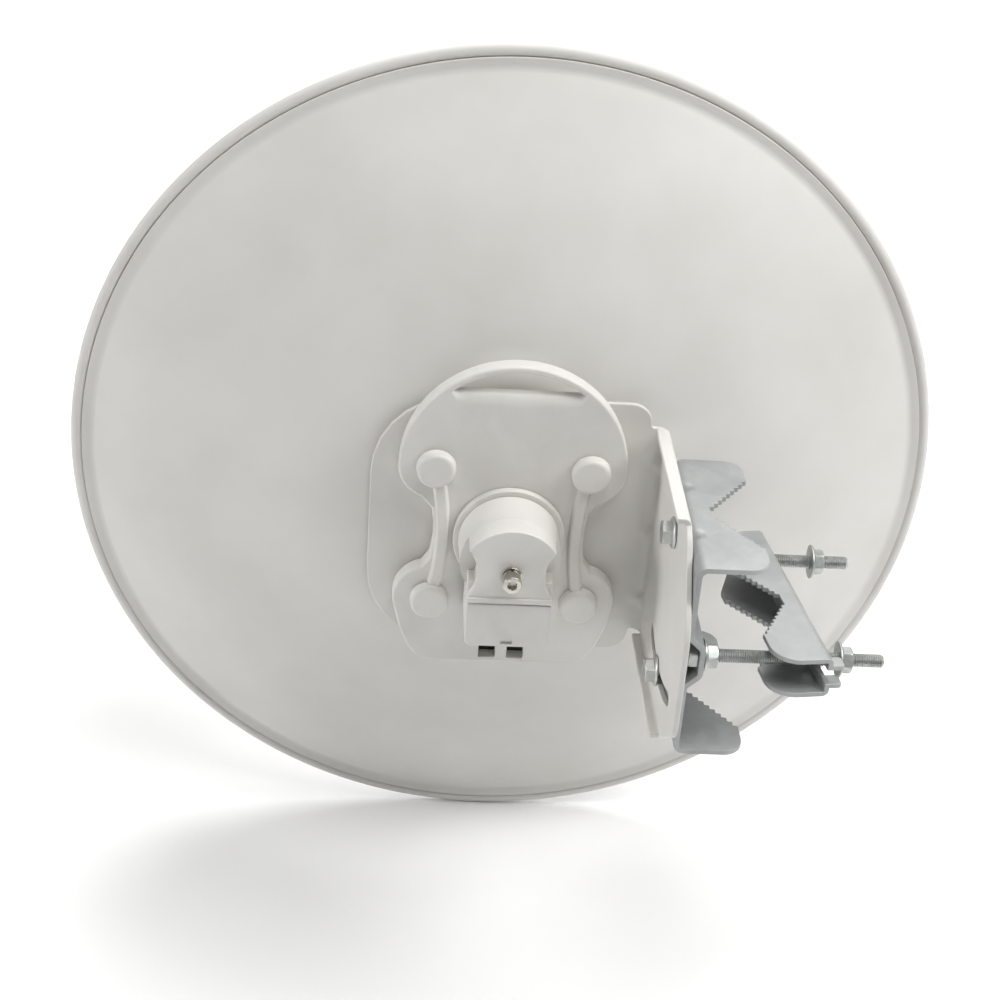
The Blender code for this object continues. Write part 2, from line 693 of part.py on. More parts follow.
def make_channel():
    top = CHANNEL_HALF_HEIGHT
    half = [
        (CHANNEL_REACH, top, 0),
        (WEB_LEFT, top, 0.004),
        (WEB_LEFT, RIB_FOOT_HALF, 0),
        (-PLATE, RIB_FLAT_HALF, 0),
    ]
    inner = [
        (0.0, RIB_FLAT_HALF, 0),
        (WEB_RIGHT, RIB_FOOT_HALF, 0),
        (WEB_RIGHT, top - PLATE, 0.0015),
        (CHANNEL_REACH, top - PLATE, 0),
    ]
    lower_outer = [(x, -z, radius) for x, z, radius in reversed(half)]
    lower_inner = [(x, -z, radius) for x, z, radius in reversed(inner)]
    section = rounded(half + lower_outer + lower_inner + inner)
    channel = sheet("clamp_channel", [section], CHANNEL_LENGTH)
    place(channel, ZINC, rotation=FACING_BACK)

    end = CHANNEL_LENGTH / 2
    reach = CHANNEL_REACH
    keep = rounded([
        (-0.02, -end - 0.01, 0),
        (-0.012, -end - 0.01, 0),
        (-0.012, -end, 0),
        (reach, -end, CORNER_RADIUS),
        (reach, end, CORNER_RADIUS),
        (-0.012, end, 0),
        (-0.012, end + 0.01, 0),
        (-0.02, end + 0.01, 0),
    ])
    border = [(-0.03, -0.08), (0.05, -0.08), (0.05, 0.08), (-0.03, 0.08)]
    corners = sheet("channel corners", [border, keep], 0.12)
    boolean(channel, tool(corners))
    notch = notch_outline(V_APEX_X, reach, V_APEX_HALF, V_MOUTH_HALF, 0.0, 0.01)
    boolean(channel, tool(sheet("channel notch", [notch], 0.12)))
    spots = [(0.0, PIVOT_Z), (0.0, -PIVOT_Z), (-BOLT_HALF_SPACING, 0.0), (BOLT_HALF_SPACING, 0.0)]
    for index, spot in enumerate(spots):
        hole = sheet("channel hole " + str(index + 1), [circle(spot, HOLE_RADIUS, 16)], 0.014)
        boolean(channel, tool(hole, None, (-0.004, 0, 0), FACING_SIDE))

    # The rib is coined flat at both ends, where the inner nuts bear on it
    for word, low_y, high_y in (("near", -end - 0.01, -SEAT_START_Y), ("far", SEAT_START_Y, end + 0.01)):
        seat = box(word + " nut seat", (-SEAT_DEPTH, low_y, -SEAT_HALF_HEIGHT), (0.001, high_y, SEAT_HALF_HEIGHT))
        boolean(channel, tool(seat))


def make_bolt(name, y, z, seat_x, length, flanged):
    # The head's seat lies at seat_x, and the shank runs from there towards +X.
    edge = 0.0006
    lift = FLANGE_THICKNESS if flanged else 0.0
    top = lift + HEAD_HEIGHT
    profile = [(0, top), (BOLT_RADIUS, top)]
    if flanged:
        profile += [
            (BOLT_RADIUS, lift),
            (FLANGE_RADIUS - edge, lift),
            (FLANGE_RADIUS, lift - edge),
            (FLANGE_RADIUS, 0),
            (BOLT_RADIUS, 0),
        ]
    profile += [(BOLT_RADIUS, edge - length), (BOLT_RADIUS - edge, -length), (0, -length)]
    bolt = turned(name, profile, 16)
    place(bolt, ZINC, location=(seat_x, y, z), rotation=(0, -QUARTER, 0))
    head = hexagon(name + " head", HEX_ACROSS_FLATS, top - lift / 2)
    head_x = seat_x - (top + lift / 2) / 2
    boolean(bolt, tool(head, None, (head_x, y, z), (0, -QUARTER, 0)), "UNION")


def make_nut(name, y, z, seat_x, flange_radius=FLANGE_RADIUS):
    # A hexagon flange nut: its flange rests at seat_x and its hexagon lies towards +X.
    edge = 0.0005
    depth = NUT_HEIGHT - FLANGE_THICKNESS
    nut = turned(
        name,
        [
            (flange_radius * 0.72, FLANGE_THICKNESS + edge),
            (flange_radius - edge, FLANGE_THICKNESS),
            (flange_radius, FLANGE_THICKNESS - edge),
            (flange_radius, 0),
            (BORE_RADIUS, 0),
            (BORE_RADIUS, FLANGE_THICKNESS + edge),
        ],
        ring=True,
    )
    place(nut, ZINC, location=(seat_x, y, z), rotation=(0, QUARTER, 0))
    body = hexagon(name + " hexagon", HEX_ACROSS_FLATS, depth)
    body_x = seat_x + FLANGE_THICKNESS + depth / 2
    boolean(nut, tool(body, None, (body_x, y, z), (0, QUARTER, 0)), "UNION")
    bore = sheet(name + " bore", [circle((0, 0), BORE_RADIUS, 16)], NUT_HEIGHT * 4)
    boolean(nut, tool(bore, None, (seat_x, y, z), FACING_SIDE))


def make_fasteners():
    head_x = WEB_LEFT - GAP - PLATE - GAP
    nut_x = WEB_RIGHT + GAP
    for word, z in (("pivot", PIVOT_Z), ("slot", -PIVOT_Z)):
        make_bolt(word + "_bolt", 0, z, head_x, SHORT_BOLT_LENGTH, True)
        make_nut(word + "_nut", 0, z, nut_x)
    sides = (("near", -BOLT_HALF_SPACING, OUTER_NUT_NEAR_X), ("far", BOLT_HALF_SPACING, OUTER_NUT_FAR_X))
    for word, y, outer_x in sides:
        make_bolt("clamp_bolt_" + word, y, 0, -PLATE - GAP, BOLT_LENGTH, False)
        make_nut("inner_nut_" + word, y, 0, GAP - SEAT_DEPTH)
        make_nut("outer_nut_" + word, y, 0, outer_x, WIDE_FLANGE_RADIUS)


def jaw_outline():
    # Seen from above: the straight web at x = 0 and the two rounded lobes that carry the notch.
    return rounded([
        (0.010, JAW_NEAR, 0),
        (-JAW_REACH, JAW_NEAR, 0.012),
        (-JAW_REACH, JAW_LOBE_Y, 0.006),
        (-JAW_FAR_REACH, JAW_FAR, 0.008),
        (0.010, JAW_FAR, 0),
    ])


def make_jaw():
    half = JAW_HALF_HEIGHT
    outer = [(-JAW_REACH, half, 0), (0, half, 0.0015)]
    inner = [(-JAW_SHEET, half - JAW_SHEET, 0), (-JAW_REACH, half - JAW_SHEET, 0)]
    section = outer + [(x, -z, radius) for x, z, radius in reversed(outer)]
    section += [(x, -z, radius) for x, z, radius in reversed(inner)] + inner
    jaw = sheet("clamp_jaw", [rounded(section)], JAW_FAR - JAW_NEAR)
    middle_y = (JAW_FAR + JAW_NEAR) / 2
    place(jaw, ZINC, parent=jaw_slide, location=(0, middle_y, 0), rotation=FACING_BACK)

    # Two lips at the open end stand out beside the slot and bear on the outer nut
    for sign, word in ((1, "upper"), (-1, "lower")):
        low_z, high_z = sorted((sign * SLOT_HALF_WIDTH, sign * (SLOT_HALF_WIDTH + JAW_SHEET)))
        lip = box(
            word + " lip",
            (-JAW_SHEET / 2, JAW_NEAR, low_z),
            (JAW_LIP, JAW_LIP_END, high_z),
        )
        boolean(jaw, tool(lip, jaw_slide), "UNION")

    border = [(-0.05, -0.08), (0.05, -0.08), (0.05, 0.08), (-0.05, 0.08)]
    corners = sheet("jaw corners", [border, jaw_outline()], 0.04)
    boolean(jaw, tool(corners, jaw_slide))
    notch = notch_outline(
        -JAW_APEX_REACH, -JAW_REACH, JAW_APEX_HALF, JAW_MOUTH_HALF, JAW_APEX_Y, 0.01
    )
    boolean(jaw, tool(sheet("jaw notch", [notch], 0.04), jaw_slide))
    low, high = JAW_SLOT_FAR
    wide = SLOT_HALF_WIDTH
    round_end = SLOT_HALF_WIDTH * 0.98
    far_slot = rounded([
        (low, -wide, round_end),
        (high, -wide, round_end),
        (high, wide, round_end),
        (low, wide, round_end),
    ])
    boolean(jaw, tool(sheet("jaw far slot", [far_slot], 0.01), jaw_slide, (0, 0, 0), FACING_SIDE))
    fork = rounded([
        (JAW_NEAR - 0.01, -wide, 0),
        (JAW_FORK_END, -wide, round_end),
        (JAW_FORK_END, wide, round_end),
        (JAW_NEAR - 0.01, wide, 0),
    ])
    boolean(jaw, tool(sheet("jaw fork", [fork], 0.01), jaw_slide, (0, 0, 0), FACING_SIDE))


make_reflector()
make_bracket()
make_cover()
make_caps()
make_front_screws()
make_radio()
make_door()
make_captive_screw()
make_feed()
make_channel()
make_fasteners()
make_jaw()
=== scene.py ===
# Dish antenna of a wireless bridge, seen from behind, with its radio and its mast clamp.
# Lengths are metres, and millimetres in the pieces' dictionaries.
# The dish pieces are drawn about the middle of the rim plane and then moved.

import math
from types import SimpleNamespace

import bmesh
import bpy
import numpy as np
from mathutils import Matrix, Vector, geometry


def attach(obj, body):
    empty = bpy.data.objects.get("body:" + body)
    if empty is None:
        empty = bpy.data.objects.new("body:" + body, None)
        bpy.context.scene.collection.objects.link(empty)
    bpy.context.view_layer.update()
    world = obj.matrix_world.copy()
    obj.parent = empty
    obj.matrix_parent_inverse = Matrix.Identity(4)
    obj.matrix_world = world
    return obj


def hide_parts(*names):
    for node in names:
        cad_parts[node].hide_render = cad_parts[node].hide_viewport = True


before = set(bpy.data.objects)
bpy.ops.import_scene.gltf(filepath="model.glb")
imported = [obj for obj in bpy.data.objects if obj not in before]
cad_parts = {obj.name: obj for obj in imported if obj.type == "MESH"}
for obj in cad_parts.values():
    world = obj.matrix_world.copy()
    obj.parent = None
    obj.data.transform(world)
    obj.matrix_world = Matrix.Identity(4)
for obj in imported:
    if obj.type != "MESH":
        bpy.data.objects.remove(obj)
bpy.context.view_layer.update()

mm = 0.001
quarter = math.pi / 2
dishCentre = np.array([-78.5 * mm, 123.5 * mm, 0.0])
gap = 0.3 * mm


def inMetres(lengths, **others):
    # Millimetres to metres, for single lengths, pairs and lists of points; the others are angles and counts
    return SimpleNamespace(**{name: np.multiply(value, mm) for name, value in lengths.items()}, **others)


# Shapes


def addObject(name, data):
    obj = bpy.data.objects.new(name, data)
    bpy.context.scene.collection.objects.link(obj)
    return obj


def makeMesh(name, points, faces, weld=0.0):
    # points is an (n, 3) array, faces a list of arrays of point numbers, 3 or 4 to a row
    mesh = bpy.data.meshes.new(name)
    corners = [row for part in faces for row in np.asarray(part).tolist()]
    mesh.from_pydata(np.asarray(points, float).tolist(), [], corners)
    bm = bmesh.new()
    bm.from_mesh(mesh)
    if weld:
        bmesh.ops.remove_doubles(bm, verts=bm.verts, dist=weld)
    bmesh.ops.recalc_face_normals(bm, faces=bm.faces)
    bm.to_mesh(mesh)
    bm.free()
    return addObject(name, mesh)


def gridFaces(rows, columns, closeRows=False, closeColumns=False):
    # Quads of a grid whose point (i, j) has the number i * columns + j
    i = np.arange(rows if closeRows else rows - 1)[:, None]
    j = np.arange(columns if closeColumns else columns - 1)[None, :]
    a = i * columns + j
    b = i * columns + (j + 1) % columns
    c = ((i + 1) % rows) * columns + (j + 1) % columns
    d = ((i + 1) % rows) * columns + j
    return np.stack([a, b, c, d], axis=-1).reshape(-1, 4)


def arcPoints(centre, radius, start, end, steps):
    # centre + radius (cos t, sin t) for t from start to end, in degrees
    t = np.radians(np.linspace(start, end, steps + 1))
    return np.stack([centre[0] + radius * np.cos(t), centre[1] + radius * np.sin(t)], 1)


def roundHole(centre, radius, count=36):
    return arcPoints(centre, radius, 0, 360 - 360 / count, count - 1)


def filleted(corners, steps=6, closed=True):
    # corners are (x, y, radius): each becomes an arc tangent to its two sides, steps points to a quarter turn
    out = []
    count = len(corners)
    for index, (x, y, radius) in enumerate(corners):
        here = np.array([x, y], float)
        if radius == 0 or (not closed and index in (0, count - 1)):
            out.append(here[None])
            continue
        before = np.array(corners[index - 1][:2]) - here
        after = np.array(corners[(index + 1) % count][:2]) - here
        before = before / np.linalg.norm(before)
        after = after / np.linalg.norm(after)
        half = math.acos(np.clip(before @ after, -1, 1)) / 2
        centre = here + (before + after) / np.linalg.norm(before + after) * radius / math.sin(half)
        first = here + before * radius / math.tan(half) - centre
        last = here + after * radius / math.tan(half) - centre
        turn = math.atan2(first[0] * last[1] - first[1] * last[0], first @ last)
        t = np.linspace(0, turn, max(2, math.ceil(abs(turn) / quarter * steps) + 1))
        turnedX = first[0] * np.cos(t) - first[1] * np.sin(t)
        turnedY = first[0] * np.sin(t) + first[1] * np.cos(t)
        out.append(centre + np.stack([turnedX, turnedY], 1))
    return np.concatenate(out)


def flipped(corners):
    # The same corners below the middle line, in the opposite order
    return [(x, -y, radius) for x, y, radius in reversed(corners)]


def densified(loop, spacing, closed=True):
    # Each side is split into equal steps no longer than spacing
    loop = np.asarray(loop, float)
    side = np.roll(loop, -1, 0) - loop
    if not closed:
        side = side[:-1]
    counts = np.ceil(np.linalg.norm(side, axis=1) / spacing - 1e-6).astype(int).clip(1)
    index = np.repeat(np.arange(len(side)), counts)
    first = np.concatenate([[0], np.cumsum(counts)[:-1]])
    part = (np.arange(counts.sum()) - first[index]) / counts[index]
    points = loop[index] + side[index] * part[:, None]
    return points if closed else np.concatenate([points, loop[-1:]])


def signedArea(loop):
    ahead = np.roll(loop, -1, 0)
    return 0.5 * np.sum(loop[:, 0] * ahead[:, 1] - ahead[:, 0] * loop[:, 1])


def insideOf(points, loop):
    # A point is inside when a ray to +X crosses the loop an odd number of times
    ahead = np.roll(loop, -1, 0)
    x, y = points[:, 0][:, None], points[:, 1][:, None]
    spans = (loop[:, 1] > y) != (ahead[:, 1] > y)
    rise = np.where(ahead[:, 1] == loop[:, 1], 1e-12, ahead[:, 1] - loop[:, 1])
    cross = loop[:, 0] + (y - loop[:, 1]) * (ahead[:, 0] - loop[:, 0]) / rise
    return (np.sum(spans & (x < cross), axis=1) % 2) == 1


def insetBy(loop, distance):
    # Each corner moves to the left of the loop's direction, along the mean normal of its two sides
    ahead = np.roll(loop, -1, 0) - loop
    behind = loop - np.roll(loop, 1, 0)
    normalA = np.stack([-behind[:, 1], behind[:, 0]], 1)
    normalB = np.stack([-ahead[:, 1], ahead[:, 0]], 1)
    normalA /= np.maximum(np.linalg.norm(normalA, axis=1), 1e-12)[:, None]
    normalB /= np.maximum(np.linalg.norm(normalB, axis=1), 1e-12)[:, None]
    mean = normalA + normalB
    mean /= np.maximum(np.linalg.norm(mean, axis=1), 1e-9)[:, None]
    stretch = np.clip(np.sum(mean * normalA, axis=1), 0.7, 1)
    return loop + mean * (distance / stretch)[:, None]


def plateShell(loops, thickness, spacing=1.0 * mm, seeds=None, edgeRows=4):
    # A plate with rounded edges, as points (u, v, w) with w from -thickness / 2 to thickness / 2.
    # loops are (points, edge radius), outline first, then holes; a radius may be a function of the points.
    # Each wall is a quarter circle, a straight stretch and a quarter circle carried along its loop:
    # inset = radius (1 - sin t), drop = radius (1 - cos t). Where the radius passes half the thickness,
    # the drop stops there and the edge is elliptic. The caps are triangulated between the rims.
    outlines, radii = [], []
    for number, (loop, radius) in enumerate(loops):
        loop = densified(loop, spacing)
        loop = loop if (signedArea(loop) > 0) == (number == 0) else loop[::-1]
        outlines.append(loop)
        radii.append(radius(loop) if callable(radius) else np.full(len(loop), radius))
    rims = [insetBy(loop, radius) for loop, radius in zip(outlines, radii)]
    rim = np.concatenate(rims)
    size = len(rim)

    inner = np.zeros((0, 2)) if seeds is None else np.asarray(seeds)
    if len(inner):
        keep = insideOf(inner, rims[0])
        for hole in rims[1:]:
            keep &= ~insideOf(inner, hole)
        inner = inner[keep]
        near = np.hypot(inner[:, 0][:, None] - rim[:, 0], inner[:, 1][:, None] - rim[:, 1]).min(axis=1)
        inner = inner[near > 0.6 * spacing]
    flat = np.concatenate([rim, inner])
    starts = np.cumsum([0] + [len(one) for one in rims])
    ahead = np.concatenate([start + (np.arange(len(one)) + 1) % len(one) for start, one in zip(starts, rims)])
    sides = list(zip(range(size), ahead.tolist()))
    made = geometry.delaunay_2d_cdt([Vector(point) for point in (flat / mm).tolist()], sides, [], 1, 1e-6)
    source = np.array([origin[0] for origin in made[3]])
    triangles = source[np.array([face for face in made[2] if len(face) == 3])]
    middle = flat[triangles].mean(axis=1)
    keep = insideOf(middle, rims[0])
    for hole in rims[1:]:
        keep &= ~insideOf(middle, hole)
    triangles = triangles[keep]

    half = thickness / 2
    drops = np.minimum(np.concatenate(radii), 0.98 * half)
    t = np.linspace(0, quarter, edgeRows + 1)
    rows = []
    for sign, angles in ((1, t[1:]), (-1, t[:0:-1])):
        for angle in angles:
            ring = [insetBy(loop, radius * (1 - math.sin(angle))) for loop, radius in zip(outlines, radii)]
            height = sign * (half - drops * (1 - math.cos(angle)))
            rows.append(np.concatenate([np.concatenate(ring), height[:, None]], 1))
    count = len(flat)
    top = np.concatenate([flat, np.full((count, 1), half)], 1)
    bottom = np.concatenate([flat, np.full((count, 1), -half)], 1)
    numbers = [np.arange(size)]
    numbers += [2 * count + row * size + np.arange(size) for row in range(len(rows))]
    numbers.append(count + np.arange(size))
    walls = [np.stack([a, b, b[ahead], a[ahead]], 1) for a, b in zip(numbers[:-1], numbers[1:])]
    return np.concatenate([top, bottom] + rows), [triangles, triangles[:, ::-1] + count] + walls


def gridSeeds(uLines, vLines):
    return np.stack(np.meshgrid(uLines, vLines, indexing="ij"), -1).reshape(-1, 2)


def folded(path, u, w):
    # Flat sheet to bent sheet: u runs along the path, w stands off to its left
    path = densified(path, 0.15 * mm, closed=False)
    step = np.diff(path, axis=0)
    length = np.concatenate([[0], np.cumsum(np.hypot(step[:, 0], step[:, 1]))])
    heading = np.unwrap(np.arctan2(step[:, 1], step[:, 0]))
    angle = np.interp(u, (length[1:] + length[:-1]) / 2, heading)
    a = np.interp(u, length, path[:, 0]) - np.sin(angle) * w
    b = np.interp(u, length, path[:, 1]) + np.cos(angle) * w
    return a, b


def pathLength(path):
    return float(np.linalg.norm(np.diff(path, axis=0), axis=1).sum())


def anglesRound(count):
    return np.linspace(0, 2 * math.pi, count, endpoint=False)


def spun(name, rows, sides=64, axis="y", centre=(0, 0, 0), turn=0.0):
    # Rows of (radius, height), each a number or an array over the angle a, joined round the axis:
    # across = radius cos a, up = radius sin a, along = height
    a = anglesRound(sides) + turn
    r = np.stack([np.broadcast_to(np.asarray(row[0], float), a.shape) for row in rows])
    h = np.stack([np.broadcast_to(np.asarray(row[1], float), a.shape) for row in rows])
    across, up = r * np.cos(a), r * np.sin(a)
    points = np.stack([h, across, up] if axis == "x" else [across, h, up], -1).reshape(-1, 3)
    faces = gridFaces(len(rows), sides, closeColumns=True)
    return makeMesh(name, points + np.asarray(centre), [faces], 1e-6)


def carried(name, rings, centre):
    # Section rings, a (rings, points, 3) array, joined and closed at each end by a ring on its middle
    ends = np.broadcast_to(rings.mean(axis=1, keepdims=True), rings.shape)
    points = np.concatenate([ends[:1], rings, ends[-1:]])
    faces = gridFaces(len(points), points.shape[1], closeColumns=True)
    return makeMesh(name, points.reshape(-1, 3) + centre, [faces], 1e-6)


def softProfile(corners, steps=5):
    # An open profile of (radius, height, fillet)
    return [tuple(point) for point in filleted(corners, steps, closed=False)]


def hexRadius(a, acrossFlats, corner=1.0):
    # Distance to a hexagon's side at angle a, no more than corner times its corner radius
    side = acrossFlats / 2 / np.cos((a + math.pi / 6) % (math.pi / 3) - math.pi / 6)
    return np.minimum(side, acrossFlats / math.sqrt(3) * corner)


def joined(name, pieces):
    # Several shells become one piece
    bm = bmesh.new()
    for piece in pieces:
        bm.from_mesh(piece.data)
        bpy.data.objects.remove(piece)
    mesh = bpy.data.meshes.new(name)
    bm.to_mesh(mesh)
    bm.free()
    return addObject(name, mesh)


def finished(obj, body, slot, material, *nodes, sharp=40):
    # Tight folds stay sharp, wide faces keep their own normals
    obj.data.materials.clear()
    obj.data.materials.append(material)
    obj.data.shade_smooth()
    obj.data.set_sharp_from_angle(angle=math.radians(sharp))
    even = obj.modifiers.new("even shading", "WEIGHTED_NORMAL")
    even.keep_sharp = True
    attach(obj, body)
    if nodes:
        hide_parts(*nodes)


# Materials


def colour(code):
    # sRGB hex to linear
    parts = [int(code[k : k + 2], 16) / 255 for k in (1, 3, 5)]
    return tuple(p / 12.92 if p <= 0.04045 else ((p + 0.055) / 1.055) ** 2.4 for p in parts) + (1.0,)


def addNode(tree, kind, settings=None, links=None):
    # settings: an input, attribute or ramp's stops to its value; links: an input to the socket that feeds it
    node = tree.nodes.new(kind)
    for key, value in (settings or {}).items():
        if key == "stops":
            for element, (position, tone) in zip(node.color_ramp.elements, value):
                element.position = position
                element.color = tone
        elif isinstance(key, str) and key not in node.inputs:
            setattr(node, key, value)
        else:
            node.inputs[key].default_value = value
    for key, socket in (links or {}).items():
        tree.links.new(socket, node.inputs[key])
    return node


def makeSurface(name, values):
    # Broad noise sets the tone, fine noise the relief, and the one named in rough the roughness.
    # Galvanised sheet adds its spangle to the broad noise: broad = noise + 0.18 cell
    material = bpy.data.materials.new(name)
    material.use_nodes = True
    tree = material.node_tree
    shader = tree.nodes["Principled BSDF"]
    for key, value in values["shader"].items():
        shader.inputs[key].default_value = value
    where = {"Vector": addNode(tree, "ShaderNodeTexCoord").outputs["Object"]}
    pattern = {}
    for key in ("broad", "fine"):
        if key in values:
            pattern[key] = addNode(tree, "ShaderNodeTexNoise", values[key], where).outputs["Fac"]
    if "spangle" in values:
        cell = addNode(tree, "ShaderNodeTexVoronoi", values["spangle"], where).outputs["Color"]
        mixed = {"operation": "MULTIPLY_ADD", 1: 0.18}
        pattern["broad"] = addNode(tree, "ShaderNodeMath", mixed, {0: cell, 2: pattern["broad"]}).outputs[0]

    made = {}
    if "tones" in values:
        stops = {"stops": [(at, colour(code)) for at, code in values["tones"]]}
        made["Base Color"] = addNode(tree, "ShaderNodeValToRGB", stops, {"Fac": pattern["broad"]})
    if "rough" in values:
        by, *levels = values["rough"]
        stops = {"stops": [(at, (level, level, level, 1.0)) for at, level in zip((0.25, 0.75), levels)]}
        made["Roughness"] = addNode(tree, "ShaderNodeValToRGB", stops, {"Fac": pattern[by]})
    if "relief" in values:
        made["Normal"] = addNode(tree, "ShaderNodeBump", values["relief"], {"Height": pattern["fine"]})
    for socket, node in made.items():
        tree.links.new(node.outputs[0], shader.inputs[socket])
    return material


# Polyester powder, sprayed and baked on steel: even and satin, with a fine orange peel
powderCoat = {
    "shader": {"IOR": 1.5},
    "tones": ((0.3, "#d4d2cd"), (0.7, "#dedcd8")),
    "broad": {"Scale": 1 / (60 * mm), "Detail": 3.0},
    "fine": {"Scale": 1 / (1.6 * mm)},  # orange peel, drawn coarser than the real 1 mm so that it shows
    "rough": ("fine", 0.45, 0.56),
    "relief": {"Strength": 0.10, "Distance": 0.1 * mm},
}

# Injection-moulded ASA: slightly warm white, a soft sheen, faint clouds where the melt flowed
mouldedPlastic = {
    "shader": {"IOR": 1.51},
    "tones": ((0.3, "#d6d4cf"), (0.72, "#dfddd9")),
    "broad": {"Scale": 1 / (24 * mm), "Detail": 4.0, "Distortion": 0.6},
    "fine": {"Scale": 1 / (0.9 * mm), "Detail": 1.0},  # mould grain, drawn coarser than the real 0.3 mm
    "rough": ("fine", 0.38, 0.49),
    "relief": {"Strength": 0.08, "Distance": 0.06 * mm},
}

# Hot-dip galvanised sheet: dull metal under a thin pale oxide, with a faint spangle
dipZinc = {
    "shader": {"Metallic": 0.45},
    "tones": ((0.35, "#9d9f9f"), (0.8, "#aeb0b0")),
    "spangle": {"Scale": 1 / (7 * mm)},
    "broad": {"Scale": 1 / (17.5 * mm), "Detail": 5.0},
    "fine": {"Scale": 1 / (0.8 * mm), "Detail": 3.0},
    "rough": ("broad", 0.57, 0.44),
    "relief": {"Strength": 0.14, "Distance": 0.06 * mm},
}

# Cold-formed steel: bright where it is smooth, darker where the finish is thin or handled
formedSteel = {
    "shader": {"Metallic": 1.0},
    "broad": {"Scale": 1 / (9 * mm), "Detail": 6.0, "Roughness": 0.65},
    "relief": {"Strength": 0.10, "Distance": 0.04 * mm},
}
platedZinc = formedSteel | {
    "tones": ((0.3, "#a0a39f"), (0.62, "#c4c6c3")),
    "fine": {"Scale": 1 / (0.5 * mm)},
    "rough": ("broad", 0.54, 0.36),
}
stainless = formedSteel | {
    "tones": ((0.3, "#a39f96"), (0.62, "#cfccc4")),
    "fine": {"Scale": 1 / (0.4 * mm)},
    "rough": ("broad", 0.36, 0.18),
}

# Painted shade: a near-black floor deep inside each cable port stands in for the shade in the opening
portShade = {
    "shader": {"Base Color": colour("#24241f"), "IOR": 1.53},
    "fine": {"Scale": 1 / (1.5 * mm)},
    "rough": ("fine", 0.5, 0.65),
}

whitePaint = makeSurface("powder coat, sprayed and baked", powderCoat)
whitePlastic = makeSurface("ASA, injection moulded", mouldedPlastic)
dullZinc = makeSurface("sheet steel, hot-dip galvanised", dipZinc)
brightZinc = makeSurface("steel, cold formed and zinc plated", platedZinc)
stainlessSteel = makeSurface("stainless steel, cold formed", stainless)
# Near-black painted shade for the floors behind the ports
portShadeSurface = makeSurface("near-black painted shade, inside the ports", portShade)

# Body, slot and material of pieces that come in numbers
mouldedPart = ("antenna", "white_plastic", whitePlastic)
steelPart = ("antenna", "bright_steel", stainlessSteel)
clampPart = ("clamp", "galvanised", brightZinc)
print("materials done")


# Reflector

reflector = inMetres({
    "rimRadius": 210,
    "beadRadius": 2.9, "beadY": -2.5,
    "ringStart": 199.4, "ringEnd": 204.5, "ringY": -5.6,
    "creaseDepth": 1.75,
    "sheet": 1.3,
    "flatRadius": 57,
    "backY": -60,
    "rise": 59.0,
    "curveEnd": 205.8,
    "ease": 0.8,
    "hubHole": 17.5,
}, sides=240)


def bowlY(radius, size):
    # Flat in the middle, then y = back + rise (r^2 - flat^2) / (end^2 - flat^2), the corner eased by a root
    curve = size.rise * (radius**2 - size.flatRadius**2)
    curve = curve / (size.curveEnd**2 - size.flatRadius**2)
    eased = 0.5 * (curve + np.sqrt(curve**2 + size.ease**2)) - 0.5 * size.ease
    return size.backY + np.maximum(eased, 0)


def makeReflector(size):
    # Bowl, concave bend, flat ring, crease and rolled bead on the back, then the front of the same sheet
    ringStart, ringEnd, ringY = size.ringStart, size.ringEnd, size.ringY
    bowlEnd = ringStart - 2 * mm
    r = np.concatenate([[size.hubHole, 35 * mm, 46 * mm], np.linspace(49 * mm, bowlEnd, 64)])
    back = np.stack([r, bowlY(r, size)], 1)
    bendY = float(bowlY(ringStart, size))
    flange = filleted([
        (bowlEnd, back[-1, 1], 0),
        (ringStart, bendY, 6 * mm),
        (ringEnd, ringY, 0.3 * mm),
        (ringEnd - 0.03 * mm, ringY + size.creaseDepth, 0),
    ], 30, closed=False)[1:]
    beadCentre = (size.rimRadius - size.beadRadius, size.beadY)
    bead = arcPoints(beadCentre, size.beadRadius, 206, 535, 42)
    inner = np.array([
        [bead[-1, 0], ringY + size.sheet + 0.1 * mm],
        [ringStart + 0.4 * mm, bendY + size.sheet],
    ])
    front = np.stack([r[::-1], bowlY(r[::-1], size) + size.sheet], 1)
    profile = np.concatenate([back, flange, bead, inner, front, back[:1]])
    obj = spun("dishShell", profile, size.sides, centre=dishCentre)
    finished(obj, "antenna", "white_coat", whitePaint, "reflector", sharp=60)


makeReflector(reflector)
print("reflector done")


# Bracket between the dish and the clamp, one sheet: folded once along its side, and twice at its returns

bracket = inMetres({
    "sheet": 2.5,
    "edge": 0.55,
    "left": -64.6,
    "right": 69.7,
    "backY": -60.3,
    "bend": 5.25,
    "halfHeight": 66,
    "sideHalf": 56.5,
    "nearY": -178,
    "slopeY": -153,
    "highCorner": 18,
    "lowCorner": -32.5,
    "returnNearY": -147, "returnFarY": -67.0, "returnWidth": 6.5, "returnBend": 2.25,
    "reliefLeft": 61.8, "reliefZ": 54.5,
    "slit": 0.7,
    "pivotZ": 36,
    "slotHalf": 3.4,
    "hole": 3.35,
    "hubHole": 17.8,
    "gussetZ": (-37, 0.0, 37), "gussetHalf": 5.5, "gussetDepth": 2.2,
}, slotTurn=24, slotMiddle=-86.5)


def slotLoop(centre, swing, half, turn, low=-90):
    # A slot of width 2 half that follows an arc of radius swing about the centre
    def tip(angle):
        t = math.radians(angle)
        return (centre[0] + swing * math.cos(t), centre[1] + swing * math.sin(t))

    return np.concatenate([
        arcPoints(centre, swing - half, low + turn, low - turn, 24),
        arcPoints(tip(low - turn), half, low - turn + 180, low - turn + 360, 12)[1:-1],
        arcPoints(centre, swing + half, low - turn, low + turn, 26),
        arcPoints(tip(low + turn), half, low + turn, low + turn + 180, 12)[1:-1],
    ])


